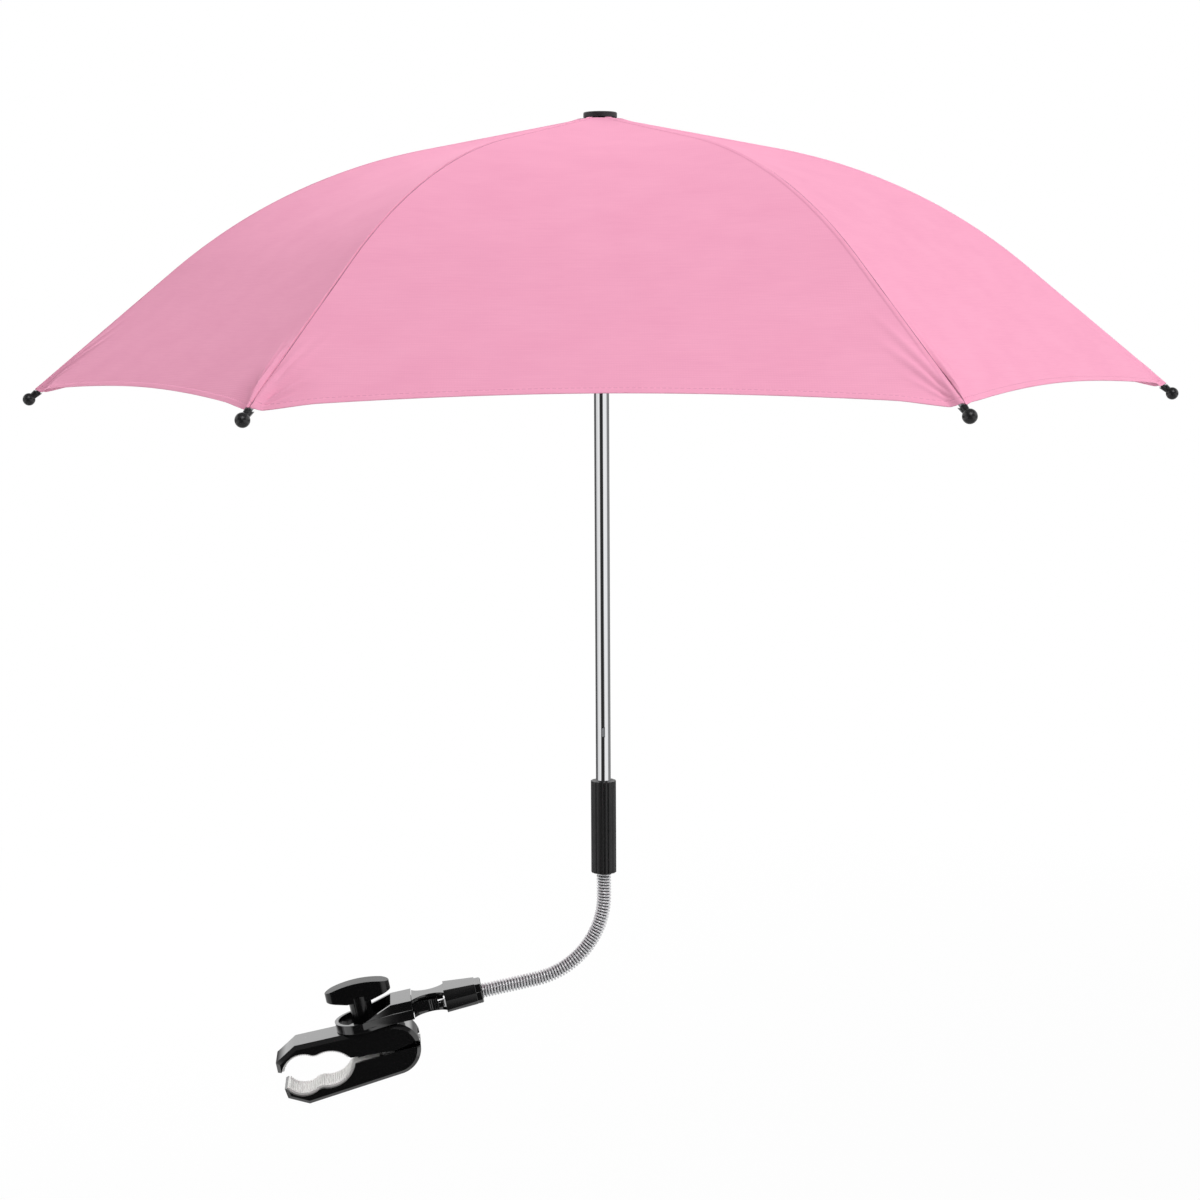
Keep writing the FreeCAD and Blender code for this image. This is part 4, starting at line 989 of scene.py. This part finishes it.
def makeWorld():
    world = bpy.data.worlds.new("studio")
    scene.world = world
    world.use_nodes = True
    tree = world.node_tree
    soft = tree.nodes["Background"]
    rays = addNode(tree, "ShaderNodeLightPath").outputs
    place = addNode(tree, "ShaderNodeTexCoord").outputs["Generated"]
    turned = addNode(tree, "ShaderNodeMapping", {"Rotation": (0, 0, math.radians(studio["frontTurn"]))},
                     {"Vector": place})
    around = addNode(tree, "ShaderNodeTexGradient", {"gradient_type": "RADIAL"},
                     {"Vector": turned.outputs[0]})
    height = addNode(tree, "ShaderNodeSeparateXYZ", None, {0: place})
    sky = addNode(tree, "ShaderNodeMapRange", {"From Min": -1.0, "From Max": 1.0, "To Min": studio["skyLow"],
                                               "To Max": studio["skyHigh"]}, {"Value": height.outputs["Z"]})
    tree.links.new(sky.outputs[0], soft.inputs["Color"])
    rings = []
    for ring in (surroundings, walls, lowWalls):
        ramp = addNode(tree, "ShaderNodeValToRGB", None, {"Fac": around.outputs["Fac"]})
        setStops(ramp, ring)
        rings.append(ramp.outputs["Color"])
    # the room is built up in layers by height, each over the last
    mirrored, upper, lower = rings
    layers = ((studio["wallsFrom"], upper), (studio["ceilingFrom"], studio["ceiling"]),
              (studio["lowWallsFrom"], lower), (studio["floorFrom"], studio["floorShine"]))
    for (start, end), colour in layers:
        step = addNode(tree, "ShaderNodeMapRange", {"From Min": start, "From Max": end},
                       {"Value": height.outputs["Z"]})
        layer = addNode(tree, "ShaderNodeMix", {"data_type": "RGBA"}, {0: step.outputs[0], 6: mirrored})
        if isinstance(colour, float):
            layer.inputs[7].default_value = (colour, colour, colour, 1)
        else:
            tree.links.new(colour, layer.inputs[7])
        mirrored = layer.outputs[2]
    towards = addNode(tree, "ShaderNodeVectorMath", {"operation": "DOT_PRODUCT", 1: studio["frontBox"]},
                      {0: place})
    boxStart, boxEnd = studio["boxEdge"]
    inFront = addNode(tree, "ShaderNodeMapRange", {"From Min": boxStart, "From Max": boxEnd},
                      {"Value": towards.outputs["Value"]})
    studioRoom = addNode(tree, "ShaderNodeMix", {"data_type": "RGBA", 7: [studio["boxWhite"]] * 3 + [1]},
                         {0: inFront.outputs[0], 6: mirrored})
    gloss = addNode(tree, "ShaderNodeBackground", {"Strength": 1.0}, {"Color": studioRoom.outputs[2]})
    white = addNode(tree, "ShaderNodeBackground", {"Color": (1, 1, 1, 1), "Strength": 1.0})
    reflected = addNode(tree, "ShaderNodeMixShader", None,
                        {0: rays["Is Glossy Ray"], 1: soft.outputs[0], 2: gloss.outputs[0]})
    seen = addNode(tree, "ShaderNodeMath", {"operation": "MAXIMUM"},
                   {0: rays["Is Camera Ray"], 1: rays["Is Transmission Ray"]})
    mix = addNode(tree, "ShaderNodeMixShader", None,
                  {0: seen.outputs[0], 1: reflected.outputs[0], 2: white.outputs[0]})
    tree.links.new(mix.outputs[0], tree.nodes["World Output"].inputs["Surface"])


def makeLight(name, lamp):
    turn, height = math.radians(lamp["turn"]), math.radians(lamp["height"])
    towards = Vector((math.cos(height) * math.cos(turn), math.cos(height) * math.sin(turn), math.sin(height)))
    bpy.ops.object.light_add(type="AREA", location=Vector(studio["aim"]) + towards * lamp["away"])
    light = bpy.context.view_layer.objects.active
    light.name = name
    light.data.shape = "DISK"
    light.data.size = lamp["size"]
    light.data.energy = lamp["power"]
    light.rotation_euler = towards.to_track_quat("Z", "Y").to_euler()
    light.visible_glossy = False


def makeCamera():
    place = Vector((view["x"], view["y"], sleeveBox[0][2] / mm + view["above"]))
    bpy.ops.object.camera_add(location=place * mm)
    camera = bpy.context.view_layer.objects.active
    camera.data.sensor_width = view["sensor"]
    camera.data.lens = view["lens"]
    turn = Matrix.Rotation(math.radians(view["heading"]), 4, "Z")
    turn = turn @ Matrix.Rotation(math.radians(90 - view["down"]), 4, "X")
    turn = turn @ Matrix.Rotation(math.radians(view["roll"]), 4, "Z")
    camera.rotation_euler = turn.to_euler()
    scene.camera = camera


makeFloor()
makeWorld()
for name, lamp in lamps.items():
    makeLight(name, lamp)
makeCamera()
print("studio set")
